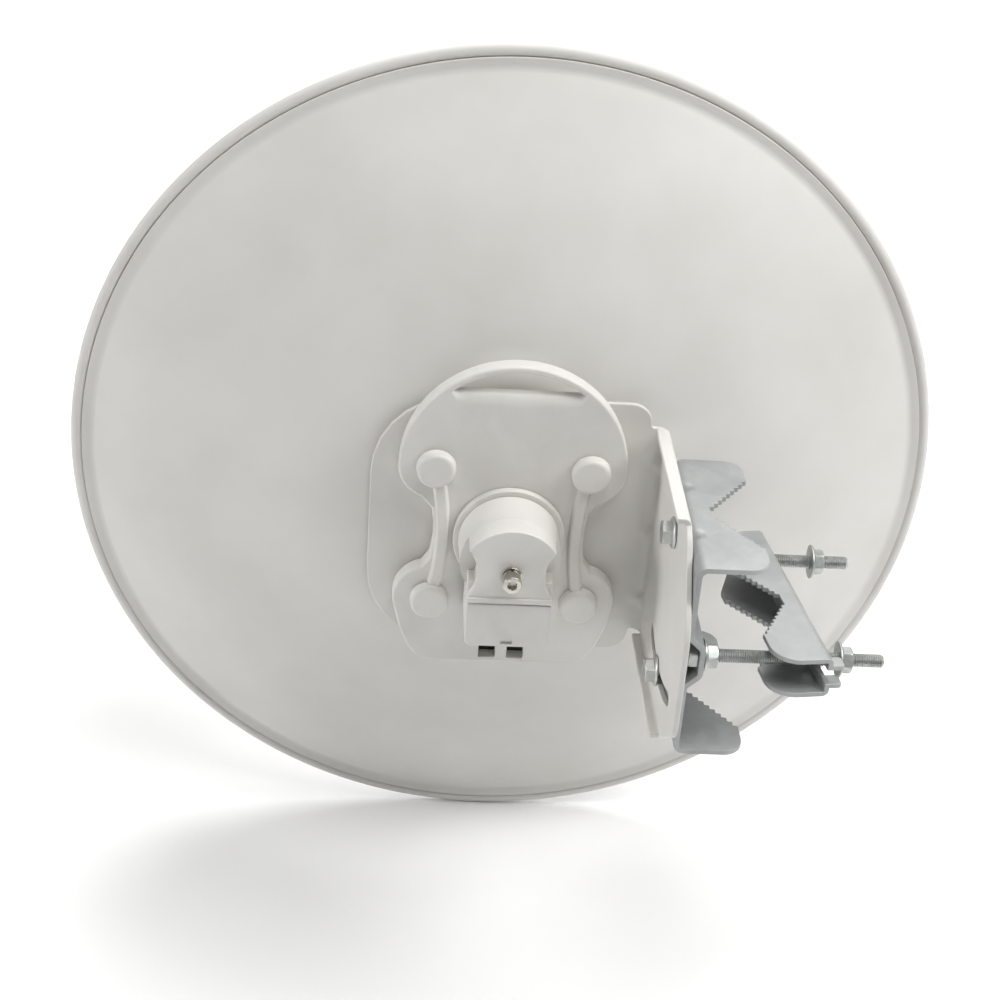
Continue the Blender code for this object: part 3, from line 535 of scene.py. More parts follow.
def gussetPush(u, v, middle, reach, spots, half, depth):
    # Embossed gussets: the sheet is pushed in by depth cos^2 across and cos^2 along the bend
    along = np.clip(np.abs(u - middle) / reach, 0, 1)
    across = np.clip(np.abs(v[:, None] - spots) / half, 0, 1)
    return depth * (np.cos(across * quarter) ** 2).sum(axis=1) * np.cos(along * quarter) ** 2


def makeBracket(size):
    # A flat sheet with its holes in u and v, pushed in at its gussets, then bent along the path and returns
    plate = size.sheet
    midY = size.backY - plate / 2
    midX = size.right - plate / 2
    path = filleted([
        (size.left, midY, 0),
        (midX, midY, size.bend),
        (midX, size.nearY, 0),
    ], 24, closed=False)
    bendStart = midX - size.bend - size.left
    bendLength = size.bend * quarter

    def uOfX(x):
        return x - size.left

    def uOfY(y):
        return bendStart + bendLength + (midY - size.bend - y)

    side = size.sideHalf
    foldAt = side - size.returnBend - plate / 2
    outBend = size.returnBend + plate / 2
    rim = foldAt + size.returnBend * quarter + size.returnWidth - outBend
    slit, floor = size.slit, foldAt - 0.3 * mm
    near, far = uOfY(size.returnNearY), uOfY(size.returnFarY)
    end = uOfY(size.nearY)
    upper = [
        (0, size.halfHeight, 40 * mm),
        (uOfX(size.reliefLeft), size.halfHeight, 10 * mm),
        (uOfX(size.reliefLeft), size.reliefZ, 1.2 * mm),
        (far - slit, size.reliefZ, 0.8 * mm),
        (far - slit, floor, 0.3 * mm),
        (far, floor, 0.3 * mm),
        (far, rim, 0.9 * mm),
    ]
    right = [
        (near, rim, 0.9 * mm),
        (near, foldAt + 0.6 * mm, 0.8 * mm),
        (uOfY(size.slopeY), side - 6 * mm, 10 * mm),
        (end, size.highCorner, 25 * mm),
        (end, size.lowCorner, 13 * mm),
        (near + slit, 0.8 * mm - side, 0.8 * mm),
        (near + slit, -floor, 0.4 * mm),
        (near, -floor, 0.4 * mm),
        (near, -rim, 0.8 * mm),
    ]
    outline = filleted(upper + right + flipped(upper))

    axisSpot = (uOfY(-dishCentre[1]), size.pivotZ)
    pivot = roundHole(axisSpot, size.hole)
    swing = 2 * size.pivotZ
    slot = slotLoop(axisSpot, swing, size.slotHalf, size.slotTurn, size.slotMiddle)
    hub = roundHole((uOfX(0), 0), size.hubHole, 60)

    bendLines = np.linspace(bendStart - 8 * mm, bendStart + bendLength + 8 * mm, 34)
    tall = np.arange(-52 * mm, 52.1 * mm, 1.3 * mm)
    foldLines = np.linspace(foldAt - 0.4 * mm, foldAt + size.returnBend * quarter + 0.3 * mm, 9)
    long = np.arange(far, near, 2 * mm)
    seeds = np.concatenate([
        gridSeeds(bendLines, tall),
        gridSeeds(long, foldLines),
        gridSeeds(long, -foldLines),
    ])
    edge = size.edge
    loops = [(outline, edge), (hub, edge), (pivot, 0.3 * mm), (slot, 0.3 * mm)]
    points, faces = plateShell(loops, plate, 1.0 * mm, seeds)
    u, v, w = points.T

    reach = bendLength / 2 + 6 * mm
    spots, half = size.gussetZ, size.gussetHalf
    push = gussetPush(u, v, bendStart + bendLength / 2, reach, spots, half, size.gussetDepth)

    # Returns: past the fold line the sheet turns by a = s / bend to a right angle, towards the radio
    inReturn = (u > far - slit / 2) & (u < near + slit / 2)
    s = np.where(inReturn, np.maximum(np.abs(v) - foldAt, 0), 0)
    a = np.minimum(s / size.returnBend, quarter)
    beyond = s - a * size.returnBend
    flatZ = np.where(inReturn, np.minimum(np.abs(v), foldAt), np.abs(v))
    z = flatZ + size.returnBend * np.sin(a) + w * np.sin(a)
    stand = w * np.cos(a) - size.returnBend * (1 - np.cos(a)) - beyond
    x, y = folded(path, u, stand - push)
    placed = np.stack([x, y, np.sign(v) * z], 1) + dishCentre
    obj = makeMesh("bracketSheet", placed, faces)
    finished(obj, "antenna", "white_coat", whitePaint, "mount_bracket")


makeBracket(bracket)
print("bracket done")


# Cover with its handle, ribs and ports

cover = inMetres({
    "faceY": -72,
    "backY": -63.1,
    "edge": 1.3,
    "boss": 35.1,
    "lobe": 17.2,
    "waist": [[36, 13], [34.8, 4], [34.8, -4], [36, -13]],
    "foot": [[48.5, -52], [44.5, -62], [40, -68], [34, -70.5]],
    "handleRadius": 52, "handleZ": 34.3, "handleWidth": 3.2,
    "arcEdge": 0.9,
    "sillZ": 73, "sillEdge": 6.4, "sillEnd": 6, "sillBlend": 1.2,
    "ribRadius": 138, "ribBow": 4.5, "ribWidth": 4.9, "ribHeight": 2.8, "ribShort": 8.6,
    "portX": (-6.0, 7.4), "portZ": (-67.5, -57.5), "portWidth": 8, "portDepth": 6.5,
    "hubHole": 17.8,
})


def coverOutline(size):
    # Right half: handle arc, upper lobe, waist, lower lobe and foot; then the same mirrored
    boss = size.boss
    half = np.concatenate([
        arcPoints((0, size.handleZ), size.handleRadius, 90, 0, 40),
        arcPoints((boss, boss), size.lobe, -10, -70, 14),
        size.waist,
        arcPoints((boss, -boss), size.lobe, 75, -15, 18),
        size.foot,
    ])
    return np.concatenate([half, (half * [-1, 1])[:0:-1]])


def makeRib(name, centre, spread, middle, size):
    # A rounded bar carried along an arc: across and height follow its profile
    wide, tall = size.ribWidth / 2, size.ribHeight
    profile = filleted([
        (-wide - 1.0 * mm, -0.6 * mm, 0),
        (-wide, tall, 1.3 * mm),
        (wide, tall, 1.3 * mm),
        (wide + 1.0 * mm, -0.6 * mm, 0),
    ])
    t = np.radians(np.linspace(middle - spread, middle + spread, 61))[:, None]
    reach = size.ribRadius + profile[:, 0]
    y = size.faceY - profile[:, 1] + 0 * t
    rings = np.stack([centre[0] + reach * np.cos(t), y, centre[1] + reach * np.sin(t)], -1)
    return carried(name, rings, dishCentre)


def backPlate(name, loops, frontY, backY, spacing=1.0 * mm, edgeRows=4):
    # A plate that faces -Y, drawn in X and Z
    points, faces = plateShell(loops, backY - frontY, spacing, edgeRows=edgeRows)
    placed = np.stack([points[:, 0], (frontY + backY) / 2 - points[:, 2], points[:, 1]], 1) + dishCentre
    return makeMesh(name, placed, faces)


def rectangle(low, high, radius):
    corners = [(low[0], low[1]), (high[0], low[1]), (high[0], high[1]), (low[0], high[1])]
    return filleted([(x, y, radius) for x, y in corners], 4)


def makeCover(size):
    # A plate with the handle's window, the ports and the hub's hole, and a rib laid on each side of its face
    inner = size.handleRadius - size.handleWidth
    rise = size.sillZ - size.handleZ
    sill = math.degrees(math.asin(rise / inner))
    window = arcPoints((0, size.handleZ), inner, sill + 2, 178 - sill, 40)
    ends = inner * math.cos(math.radians(sill)) - 0.6 * mm
    window = np.concatenate([window, [[-ends, size.sillZ], [ends, size.sillZ]]])

    def windowEdge(points):
        # Wide along the sill, narrow along the arc, with an elliptic end of length sillEnd at each side
        low = np.clip((size.sillZ + size.sillBlend - points[:, 1]) / size.sillBlend, 0, 1)
        t = np.clip((ends - np.abs(points[:, 0])) / size.sillEnd, 0, 1)
        return size.arcEdge + (size.sillEdge - size.arcEdge) * low**2 * np.sqrt(t * (2 - t))

    low, high = size.portZ
    half = size.portWidth / 2
    loops = [(coverOutline(size), size.edge), (window, windowEdge)]
    loops += [(rectangle((x - half, low), (x + half, high), 0.6 * mm), 0.35 * mm) for x in size.portX]
    loops.append((roundHole((0, 0), size.hubHole, 60), 0.3 * mm))
    pieces = [backPlate("coverShell", loops, size.faceY, size.backY, 1.2 * mm, 6)]
    spread = math.degrees(math.asin((size.boss - size.ribShort) / size.ribRadius))
    for side in (-1, 1):
        centre = (side * (size.boss - size.ribBow + size.ribRadius), 0)
        pieces.append(makeRib("coverRib", centre, spread, 90 + side * 90, size))
    finished(joined("rearCover", pieces), *mouldedPart, "rear_cover")

    # Painted shade: a near-black floor behind each port stands in for the shade in the opening
    floorY = size.faceY + size.portDepth
    for number, x in enumerate(size.portX):
        reach = half + 0.2 * mm
        loop = rectangle((x - reach, low - 0.2 * mm), (x + reach, high + 0.2 * mm), 0.5 * mm)
        obj = backPlate("portShadeFloor" + str(number + 1), [(loop, 0.2 * mm)], floorY, floorY + 1.5 * mm)
        # The floor's near-black colour is painted shade, not a black part
        finished(obj, "antenna", "white_plastic", portShadeSurface)


makeCover(cover)
print("cover done")


# Caps over the four screws of the cover

cap = inMetres({"radius": 9.1, "height": 5.1, "taper": 0.4, "edge": 2.3})


def cornerSpots(boss):
    # Name, x and z of each of the four screws
    rows, sides = (("upper", boss), ("lower", -boss)), (("left", -boss), ("right", boss))
    return [(row + "_" + side, x, z) for row, z in rows for side, x in sides]


def makeCaps(size, base):
    # A slightly tapered cylinder with a round edge, spun and set at each corner
    profile = softProfile([
        (0, -size.height, 0),
        (size.radius - size.taper, -size.height, size.edge),
        (size.radius, -0.3 * mm, 0.3 * mm),
        (size.radius - 0.3 * mm, 0, 0),
        (0, 0, 0),
    ], 9)
    for name, x, z in cornerSpots(base.boss):
        spot = dishCentre + [x, base.faceY - gap, z]
        finished(spun("cap_" + name, profile, 72, centre=spot), *mouldedPart, "screw_cap_" + name)


makeCaps(cap, cover)
print("caps done")


# Radio with its collar, cable box, door and captive screw

radio = inMetres({
    "collarRadius": 26, "collarThickness": 3,
    "tubeRadius": 23.3,
    "endY": -106.3,
    "gripY": -94,
    "neckX": 15.2, "neckTop": (19.4, 12), "neckLow": (19.0, -11.5),
    "boxHalf": 19.1, "boxTop": -5, "boxBottom": -38,
    "lipHalf": 19.5, "lipTop": -11.8, "lipBottom": -14.5, "lipStand": 0.8,
    "door": 3, "doorSkin": 1.3,
    "notch": (5.2, 2.2), "notchRise": 1.2,
    "edge": 0.6,
    "screwHole": 2.85,
})


def gripLoop(size):
    # A round top, hollow grips at the sides, then the lip over the cable box
    top, low = size.neckTop, size.neckLow
    chord = (top[1] - low[1]) / 2
    sag = (top[0] + low[0]) / 2 - size.neckX
    radius = (chord**2 + sag**2) / (2 * sag)
    spread = math.degrees(math.asin(chord / radius))
    half = np.concatenate([
        arcPoints((0, 0), math.hypot(*top), 90, math.degrees(math.atan2(top[1], top[0])), 24),
        arcPoints((size.neckX + radius, (top[1] + low[1]) / 2), radius, 180 - spread, 180 + spread, 22)[1:],
        [[size.lipHalf, size.lipTop], [size.lipHalf, size.lipBottom]],
    ])
    return np.concatenate([half, (half * [-1, 1])[:0:-1]])


def boxLoop(size, top, steps):
    half, bottom = size.boxHalf, size.boxBottom
    corners = [(-half, top, 0.9 * mm), (-half, bottom, 3 * mm), (half, bottom, 3 * mm), (half, top, 0.9 * mm)]
    return filleted(corners, steps)


def makeRadio(size, base):
    # A spun collar; a tapered tube that runs into its end plate, lip and cable box; and the door
    collarY = base.faceY - gap
    collar = softProfile([
        (0, -size.collarThickness, 0),
        (size.collarRadius - 0.2 * mm, -size.collarThickness, 0.7 * mm),
        (size.collarRadius, 0, 0.2 * mm),
        (0, 0, 0),
    ])
    ring = spun("collarRing", collar, 120, centre=dishCentre + [0, collarY, 0])
    finished(ring, *mouldedPart, "hub_collar")

    startY = collarY - size.collarThickness - gap
    tube = softProfile([
        (0, size.gripY, 0),
        (math.hypot(*size.neckTop) + 0.05 * mm, size.gripY, 0.08 * mm),
        (size.tubeRadius, startY, 0.3 * mm),
        (0, startY, 0),
    ])
    hole = roundHole((0, 0), size.screwHole)
    lip = rectangle((-size.lipHalf, size.lipBottom), (size.lipHalf, size.lipTop), 0.4 * mm)
    endY, boxY = size.endY, size.endY + size.door + gap
    endLoops = [(gripLoop(size), size.edge), (hole, 0.2 * mm)]
    obj = joined("radioShell", [
        spun("radioTube", tube, 160, centre=dishCentre),
        backPlate("radioEnd", endLoops, endY, size.gripY + 1 * mm),
        backPlate("radioLip", [(lip, 0.35 * mm)], endY - size.lipStand, endY + 1 * mm),
        backPlate("cableBox", [(boxLoop(size, size.boxTop, 6), 0.5 * mm)], boxY, startY),
    ])
    finished(obj, *mouldedPart, "radio_body")

    # The door: a front skin with the latch notch through it, and a back skin behind
    outline = boxLoop(size, size.lipBottom - 0.9 * mm, 10)
    half, tall = size.notch[0] / 2, size.notch[1]
    notchLow = size.boxBottom + size.notchRise
    notch = rectangle((-half, notchLow), (half, notchLow + tall), 0.4 * mm)
    skin = size.doorSkin
    back = densified(outline, 1.0 * mm)
    back = insetBy(back if signedArea(back) > 0 else back[::-1], np.full(len(back), 0.15 * mm))
    obj = joined("cableDoor", [
        backPlate("doorFront", [(outline, 0.5 * mm), (notch, 0.2 * mm)], endY, endY + skin),
        backPlate("doorBack", [(back, 0.15 * mm)], endY + skin - 0.1 * mm, endY + size.door),
    ])
    finished(obj, "door", "white_plastic", whitePlastic, "cable_door")


captive = inMetres({
    "headRadius": 4.25, "headHeight": 5,
    "socket": 4, "socketDepth": 2.6,
    "shank": 2.5, "shankLength": 10,
    "washer": (5.0, 1.0),
    "spring": (4.4, 1.4),
    "hole": 2.85,
}, springOpening=15)


def springCoil(name, size, centre):
    # One open turn of square wire: the section is carried round all but the opening
    inner, (outer, height) = size.hole, size.spring
    profile = filleted([
        (inner, 0, 0.12 * mm), (outer, 0, 0.25 * mm), (outer, -height, 0.25 * mm), (inner, -height, 0.12 * mm)
    ], 3)
    start = 90 + size.springOpening / 2
    t = np.radians(np.linspace(start, start + 360 - size.springOpening, 90))[:, None]
    r, h = profile[:, 0], profile[:, 1]
    return carried(name, np.stack([r * np.cos(t), h + 0 * t, r * np.sin(t)], -1), centre)


def makeCaptiveScrew(size, endY):
    # Flat washer, spring washer and socket screw, one on the other along the screw's axis
    washerY = endY - gap
    springY = washerY - size.washer[1] - gap
    headY = springY - size.spring[1] - gap
    hole, (outer, height) = size.hole, size.washer
    ring = filleted([
        (hole, 0, 0.15 * mm), (outer, 0, 0.3 * mm), (outer, -height, 0.3 * mm), (hole, -height, 0.15 * mm)
    ], 4)
    ring = np.concatenate([ring, ring[:1]])
    finished(spun("flatWasher", ring, 72, centre=dishCentre + [0, washerY, 0]), *steelPart, "flat_washer")
    finished(springCoil("springWasher", size, dishCentre + [0, springY, 0]), *steelPart, "spring_washer")

    a = anglesRound(96)
    high = -size.headHeight
    socket = hexRadius(a, size.socket, 0.97)
    head = softProfile([
        (size.socket / 2 + 0.45 * mm, high, 0),
        (size.headRadius, high, 0.6 * mm),
        (size.headRadius, 0, 0.15 * mm),
        (size.shank, 0, 0),
    ])
    rows = [
        (0, high + size.socketDepth + 0.6 * mm),
        (socket * 0.9, high + size.socketDepth),
        (socket, high + size.socketDepth - 0.1 * mm),
        (socket, high + 0.25 * mm),
        (socket + 0.12 * mm, high + 0.06 * mm),
        (socket + 0.28 * mm, high),
    ]
    shank, end = size.shank, size.shankLength
    rows += head[1:] + [(shank, end - 0.4 * mm), (shank - 0.4 * mm, end), (0, end)]
    finished(spun("captiveScrew", rows, 96, centre=dishCentre + [0, headY, 0]), *steelPart, "captive_screw")


makeRadio(radio, cover)
makeCaptiveScrew(captive, radio.endY)
print("radio done")


# Feed and screws on the front of the dish

feed = inMetres({
    "frontY": -58.4,
    "flange": 30, "flangeThickness": 3,
    "radius": 16.5,
    "endY": 112,
    "subRadius": 29, "subY": 134, "subWall": 6,
    "screwRadius": 5.8, "screwHeight": 3.5, "screwSocket": 4,
})


def makeFeed(size, base):
    # Spun tube with its flange, and its cap, a cone that ends in a short cylinder
    flangeTop = size.frontY + size.flangeThickness
    profile = softProfile([
        (0, base.faceY, 0),
        (size.radius, base.faceY, 0.5 * mm),
        (size.radius, size.frontY, 0),
        (size.flange, size.frontY, 0.4 * mm),
        (size.flange, flangeTop, 1.2 * mm),
        (size.radius, flangeTop, 4 * mm),
        (size.radius, size.endY, 0.5 * mm),
        (0, size.endY, 0),
    ])
    finished(spun("feedTube", profile, 96, centre=dishCentre), *mouldedPart, "feed_tube")
    start = size.endY + gap
    profile = softProfile([
        (0, start, 0),
        (size.radius, start, 0.6 * mm),
        (size.subRadius, size.subY - size.subWall, 1.5 * mm),
        (size.subRadius, size.subY, 2 * mm),
        (0, size.subY, 0),
    ])
    finished(spun("feedCap", profile, 96, centre=dishCentre), *mouldedPart, "feed_cap")

    # Button-head screws: a dome with a hexagon socket
    a = anglesRound(72)
    socket = hexRadius(a, size.screwSocket, 0.97)
    tall, wide, foot = size.screwHeight, size.screwRadius, 0.5 * mm
    t = np.radians(np.linspace(0, 62, 9))
    dome = list(zip(wide * np.cos(t), foot + (tall - foot) * np.sin(t)))
    rows = [(0, 0), (wide - 0.3 * mm, 0), (wide, 0.3 * mm)] + dome
    rows += [(socket + 0.2 * mm, tall), (socket, tall - 0.2 * mm)]
    rows += [(socket, tall - 2 * mm), (0, tall - 2.3 * mm)]
    for name, x, z in cornerSpots(base.boss):
        spot = dishCentre + [x, size.frontY, z]
        finished(spun("dishScrew_" + name, rows, 72, centre=spot), *steelPart, "dish_screw_" + name)


makeFeed(feed, cover)
print("feed done")


# Clamp channel, one sheet folded along its section, with toothed notches in both flanges

channel = inMetres({
    "sheet": 2.5,
    "edge": 0.35,
    "halfLength": 46.5, "halfHeight": 47,
    "webX": -7.25,
    "reach": 22.5,
    "ribFlat": 6.5, "ribFoot": 12.3, "ribBend": 3,
    "bend": 3.75,
    "corner": 9,
    "apexX": 3, "apexHalf": 2,
    "mouthHalf": 28.5,
    "toothDepth": 1.3,
    "boltY": 39.5,
    "pivotZ": 36,
    "hole": 3.35,
    "gussetY": (-19, 21), "gussetHalf": 4, "gussetDepth": 2,
}, teeth=9)


def toothedEdge(start, end, count, depth, samples=8):
    # Along a straight edge, offset = depth (1 - cos 2 pi t) / 2 to the left, once for each tooth
    start, end = np.array(start, float), np.array(end, float)
    along = end - start
    left = np.array([-along[1], along[0]]) / np.linalg.norm(along)
    t = np.linspace(0, count, count * samples + 1)
    bump = depth * (1 - np.cos(2 * math.pi * t)) / 2
    return start + (t / count)[:, None] * along + bump[:, None] * left


def notchedOutline(nearEnd, farEnd, steps, total, depth, mouth, apex, teeth, toothDepth):
    # Filleted ends and a toothed V in each flange; mouth and apex are its low and high places
    def edge(start, end):
        return toothedEdge(start, end, teeth, toothDepth)

    return np.concatenate([
        filleted(nearEnd, steps, closed=False)[1:-1],
        edge((total, mouth[0]), (total - depth, apex[0])),
        edge((total - depth, apex[1]), (total, mouth[1])),
        filleted(farEnd, steps, closed=False)[1:-1],
        edge((0, mouth[1]), (depth, apex[1])),
        edge((depth, apex[0]), (0, mouth[0])),
    ])


def makeChannel(size):
    # A flat sheet in u and y with toothed notches, pushed in at its gussets, then folded along the section
    plate = size.sheet
    top = size.halfHeight - plate / 2
    web = size.webX
    half = [
        (size.reach, top, 0),
        (web, top, size.bend),
        (web, size.ribFoot, size.ribBend),
        (-plate / 2, size.ribFlat, size.ribBend),
    ]
    path = filleted(half + flipped(half), 12, closed=False)
    total = pathLength(path)
    bendEnd = size.reach - web - size.bend + size.bend * quarter
    length, corner = size.halfLength, size.corner
    mouth, apex = size.mouthHalf, size.apexHalf
    nearEnd = [(0, 0, 0), (0, -length, corner), (total, -length, corner), (total, 0, 0)]
    farEnd = [(total, 0, 0), (total, length, corner), (0, length, corner), (0, 0, 0)]
    depth, teeth = size.reach - size.apexX, (size.teeth, size.toothDepth)
    outline = notchedOutline(nearEnd, farEnd, 14, total, depth, (-mouth, mouth), (-apex, apex), *teeth)
    pivotU = bendEnd + top - size.bend - size.pivotZ
    bolt = size.boltY
    spots = [(pivotU, 0), (total - pivotU, 0), (total / 2, -bolt), (total / 2, bolt)]
    loops = [(outline, size.edge)]
    loops += [(roundHole(spot, size.hole), 0.25 * mm) for spot in spots]
    bendLines = np.linspace(bendEnd - size.bend * quarter - 5 * mm, bendEnd + 5 * mm, 26)
    ribLines = np.linspace(total / 2 - 18 * mm, total / 2 + 18 * mm, 61)
    across = np.arange(-45 * mm, 45.1 * mm, 1.5 * mm)
    seeds = np.concatenate([
        gridSeeds(bendLines, across), gridSeeds(total - bendLines, across), gridSeeds(ribLines, across)
    ])
    points, faces = plateShell(loops, plate, 1.0 * mm, seeds)
    u, v, w = points.T
    bendMiddle = bendEnd - size.bend * quarter / 2
    spots, half = size.gussetY, size.gussetHalf
    push = gussetPush(np.minimum(u, total - u), v, bendMiddle, 6 * mm, spots, half, size.gussetDepth)
    x, z = folded(path, u, w + push)
    obj = makeMesh("clampChannel", np.stack([x, v, z], 1), faces)
    finished(obj, "clamp", "galvanised", dullZinc, "clamp_channel")


makeChannel(channel)
print("channel done")


# Bolts and nuts

fastener = inMetres({
    "radius": 3,
    "pitch": 1,
    "threadDepth": 0.5,
    "length": 80,
    "shortLength": 16,
    "acrossFlats": 10,
    "head": 4,
    "nut": 6,
    "flange": 7.1,
    "wideFlange": 7.8,
    "flangeHeight": 1.6,
    "bore": 3.25,
    "outerNearX": 57.5, "outerFarX": 59.7,
}, sides=72)


def threadRows(size, start, end, a):
    # Screw thread: r(a, s) = R - depth tri(s / pitch - a / 2 pi), faded in over one pitch at the start
    s = np.arange(start, end - 0.6 * mm, size.pitch / 6)
    phase = (s[:, None] / size.pitch - a / (2 * math.pi)) % 1
    wave = np.clip(np.abs(2 * phase - 1) * 1.3 - 0.15, 0, 1)
    fade = np.clip((s[:, None] - start) / size.pitch, 0, 1)
    r = size.radius - size.threadDepth * wave * fade
    return list(zip(r, s))


def hexRows(size, a, low, high):
    # Hexagon wall from low to high: r = the smaller of the hexagon and a 30 degree cone at the high end
    flat = size.acrossFlats / 2
    hexagon = hexRadius(a, size.acrossFlats, 0.985)
    steps = low + (high - low) * (1 - np.cos(np.linspace(0, math.pi, 11))) / 2
    return [(np.minimum(hexagon, flat * 0.96 + (high - h) * math.tan(math.radians(60))), h) for h in steps]


def makeBolt(name, node, place, length, flanged, threadStart, size):
    # The seat of the head lies at height 0 and the shank runs to length
    sides = size.sides
    a = anglesRound(sides)
    lift = size.flangeHeight if flanged else 0.0
    top = lift + size.head
    flat = size.acrossFlats / 2
    rows = [(0, -top + 0.35 * mm), (flat * 0.55, -top + 0.35 * mm), (flat * 0.72, -top)]
    rows += [(r, -h) for r, h in reversed(hexRows(size, a, lift, top))]
    if flanged:
        steps = ((0.9, 0.85), (0.2, 0.55), (0, 0.3))
        rows += [(size.flange - inset * mm, -lift * part) for inset, part in steps]
        rows += [(size.flange - 0.1 * mm, -0.05 * mm), (size.flange - 0.3 * mm, 0)]
    rows += [(size.radius + 0.3 * mm, 0), (size.radius, 0.3 * mm)]
    rows += threadRows(size, threadStart, length, a)
    rows += [(size.radius - 0.75 * mm, length), (0, length)]
    finished(spun(name, rows, sides, "x", place), *clampPart, node)


def makeNut(name, node, place, flange, turn, size):
    # The flange rests at height 0 and the hexagon lies above it
    sides = size.sides
    a = anglesRound(sides)
    lift, top, bore = size.flangeHeight, size.nut, size.bore
    flat = size.acrossFlats / 2
    rows = [(bore, 0.5 * mm), (bore + 0.5 * mm, 0), (flange - 0.3 * mm, 0), (flange - 0.05 * mm, 0.1 * mm)]
    rows += [(flange, 0.5 * mm), (flange - 0.25 * mm, 0.9 * mm), (flange * 0.84, lift * 0.95)]
    rows += hexRows(size, a, lift, top)
    rows += [(flat * 0.8, top), (bore + 0.5 * mm, top - 0.05 * mm), (bore, top - 0.6 * mm), (bore, 0.5 * mm)]
    finished(spun(name, rows, sides, "x", place, turn), *clampPart, node)


def makeFasteners(size, base):
    # Short bolts hold the bracket, long ones the jaw; each runs along x through the channel's web
    plate = base.sheet
    headX = base.webX - plate / 2 - plate - 2 * gap
    nutX = base.webX + plate / 2 + gap
    for word, z in (("pivot", base.pivotZ), ("slot", -base.pivotZ)):
        makeBolt(word + "Bolt", word + "_bolt", (headX, 0, z), size.shortLength, True, 6 * mm, size)
        makeNut(word + "Nut", word + "_nut", (nutX, 0, z), size.flange, 0.3, size)
    ends = (("near", -base.boltY, size.outerNearX), ("far", base.boltY, size.outerFarX))
    for word, y, outerX in ends:
        place = (-plate - gap, y, 0)
        makeBolt("longBolt_" + word, "clamp_bolt_" + word, place, size.length, False, 8 * mm, size)
        makeNut("innerNut_" + word, "inner_nut_" + word, (0.1 * mm, y, 0), size.flange, 0.2, size)
        makeNut("outerNut_" + word, "outer_nut_" + word, (outerX, y, 0), size.wideFlange, 0.5, size)


makeFasteners(fastener, channel)
print("fasteners done")


# Jaw, a smaller folded channel that stands a little askew on the bolts

jaw = inMetres({
    "sheet": 2.3,
    "edge": 0.4,
    "originX": 45.5,
    "near": -53.6, "nearCorner": 12,
    "far": 50.8, "farCorner": 8,
    "halfHeight": 9.5,
    "reach": 25,
    "farReach": 13.5,
    "lobeY": 26, "lobeCorner": 6,
    "apexReach": 9, "apexY": -7.2, "apexHalf": 2,
    "mouthHalf": 26,
    "bend": 1.5,
    "slotHalf": 3.4,
    "forkEnd": -34.5,
    "slotFar": (34.5, 45.2),
    "lip": 5.4, "lipEnd": -46.5,
}, skew=7.6)


def makeJaw(size, base):
    # Folded as the channel is, then turned by the skew about z
    plate = size.sheet
    top = size.halfHeight - plate / 2
    web = -plate / 2
    half = [(-size.reach, top, 0), (web, top, size.bend)]
    path = filleted(half + flipped(half), 12, closed=False)
    total = pathLength(path)
    short = size.reach - size.farReach
    deep = size.reach - size.apexReach
    near, far, lobe = size.near, size.far, size.lobeY
    low, high = size.apexY - size.mouthHalf, size.apexY + size.mouthHalf
    lowApex, highApex = size.apexY - size.apexHalf, size.apexY + size.apexHalf
    nearCorner, farCorner, lobeCorner = size.nearCorner, size.farCorner, size.lobeCorner
    middle, wide = total / 2, size.slotHalf
    nearEnd = [
        (0, low, 0),
        (0, near, nearCorner),
        (middle - wide, near, 0.8 * mm),
        (middle - wide, size.forkEnd, wide * 0.99),
        (middle + wide, size.forkEnd, wide * 0.99),
        (middle + wide, near, 0.8 * mm),
        (total, near, nearCorner),
        (total, low, 0),
    ]
    farEnd = [
        (total, high, 0),
        (total, lobe, lobeCorner),
        (total - short, far, farCorner),
        (short, far, farCorner),
        (0, lobe, lobeCorner),
        (0, high, 0),
    ]
    teeth = (base.teeth, base.toothDepth * 0.9)
    outline = notchedOutline(nearEnd, farEnd, 12, total, deep, (low, high), (lowApex, highApex), *teeth)
    slot = rectangle((middle - wide, size.slotFar[0]), (middle + wide, size.slotFar[1]), wide * 0.99)
    bendLength = size.bend * quarter
    bendStart = size.reach + web - size.bend
    bendLines = np.linspace(bendStart - 0.3 * mm, bendStart + bendLength + 0.3 * mm, 9)
    along = np.arange(-52 * mm, 50 * mm, 1.2 * mm)
    seeds = np.concatenate([gridSeeds(bendLines, along), gridSeeds(total - bendLines, along)])
    points, faces = plateShell([(outline, size.edge), (slot, 0.3 * mm)], plate, 1.0 * mm, seeds)
    x, z = folded(path, points[:, 0], points[:, 2])
    pieces = [makeMesh("jawChannel", np.stack([x, points[:, 1], z], 1), faces)]

    # Two lips at the open end turn outwards beside the fork
    for side in (-1, 1):
        lip = filleted([
            (web, near + 0.2 * mm, 0.8 * mm),
            (size.lip, near + 0.2 * mm, 1.5 * mm),
            (size.lip, size.lipEnd, 1.5 * mm),
            (web, size.lipEnd, 0.8 * mm),
        ])
        points, faces = plateShell([(lip, 0.5 * mm)], plate)
        z = side * (wide + plate / 2) + points[:, 2]
        pieces.append(makeMesh("jawLip", np.stack([points[:, 0], points[:, 1], z], 1), faces))
    obj = joined("clampJaw", pieces)
    skew = Matrix.Rotation(math.radians(size.skew), 4, "Z")
    obj.data.transform(Matrix.Translation((size.originX, 0, 0)) @ skew)
    finished(obj, "jaw", "galvanised", dullZinc, "clamp_jaw")


makeJaw(jaw, channel)
print("jaw done")


# Floor, lights and camera

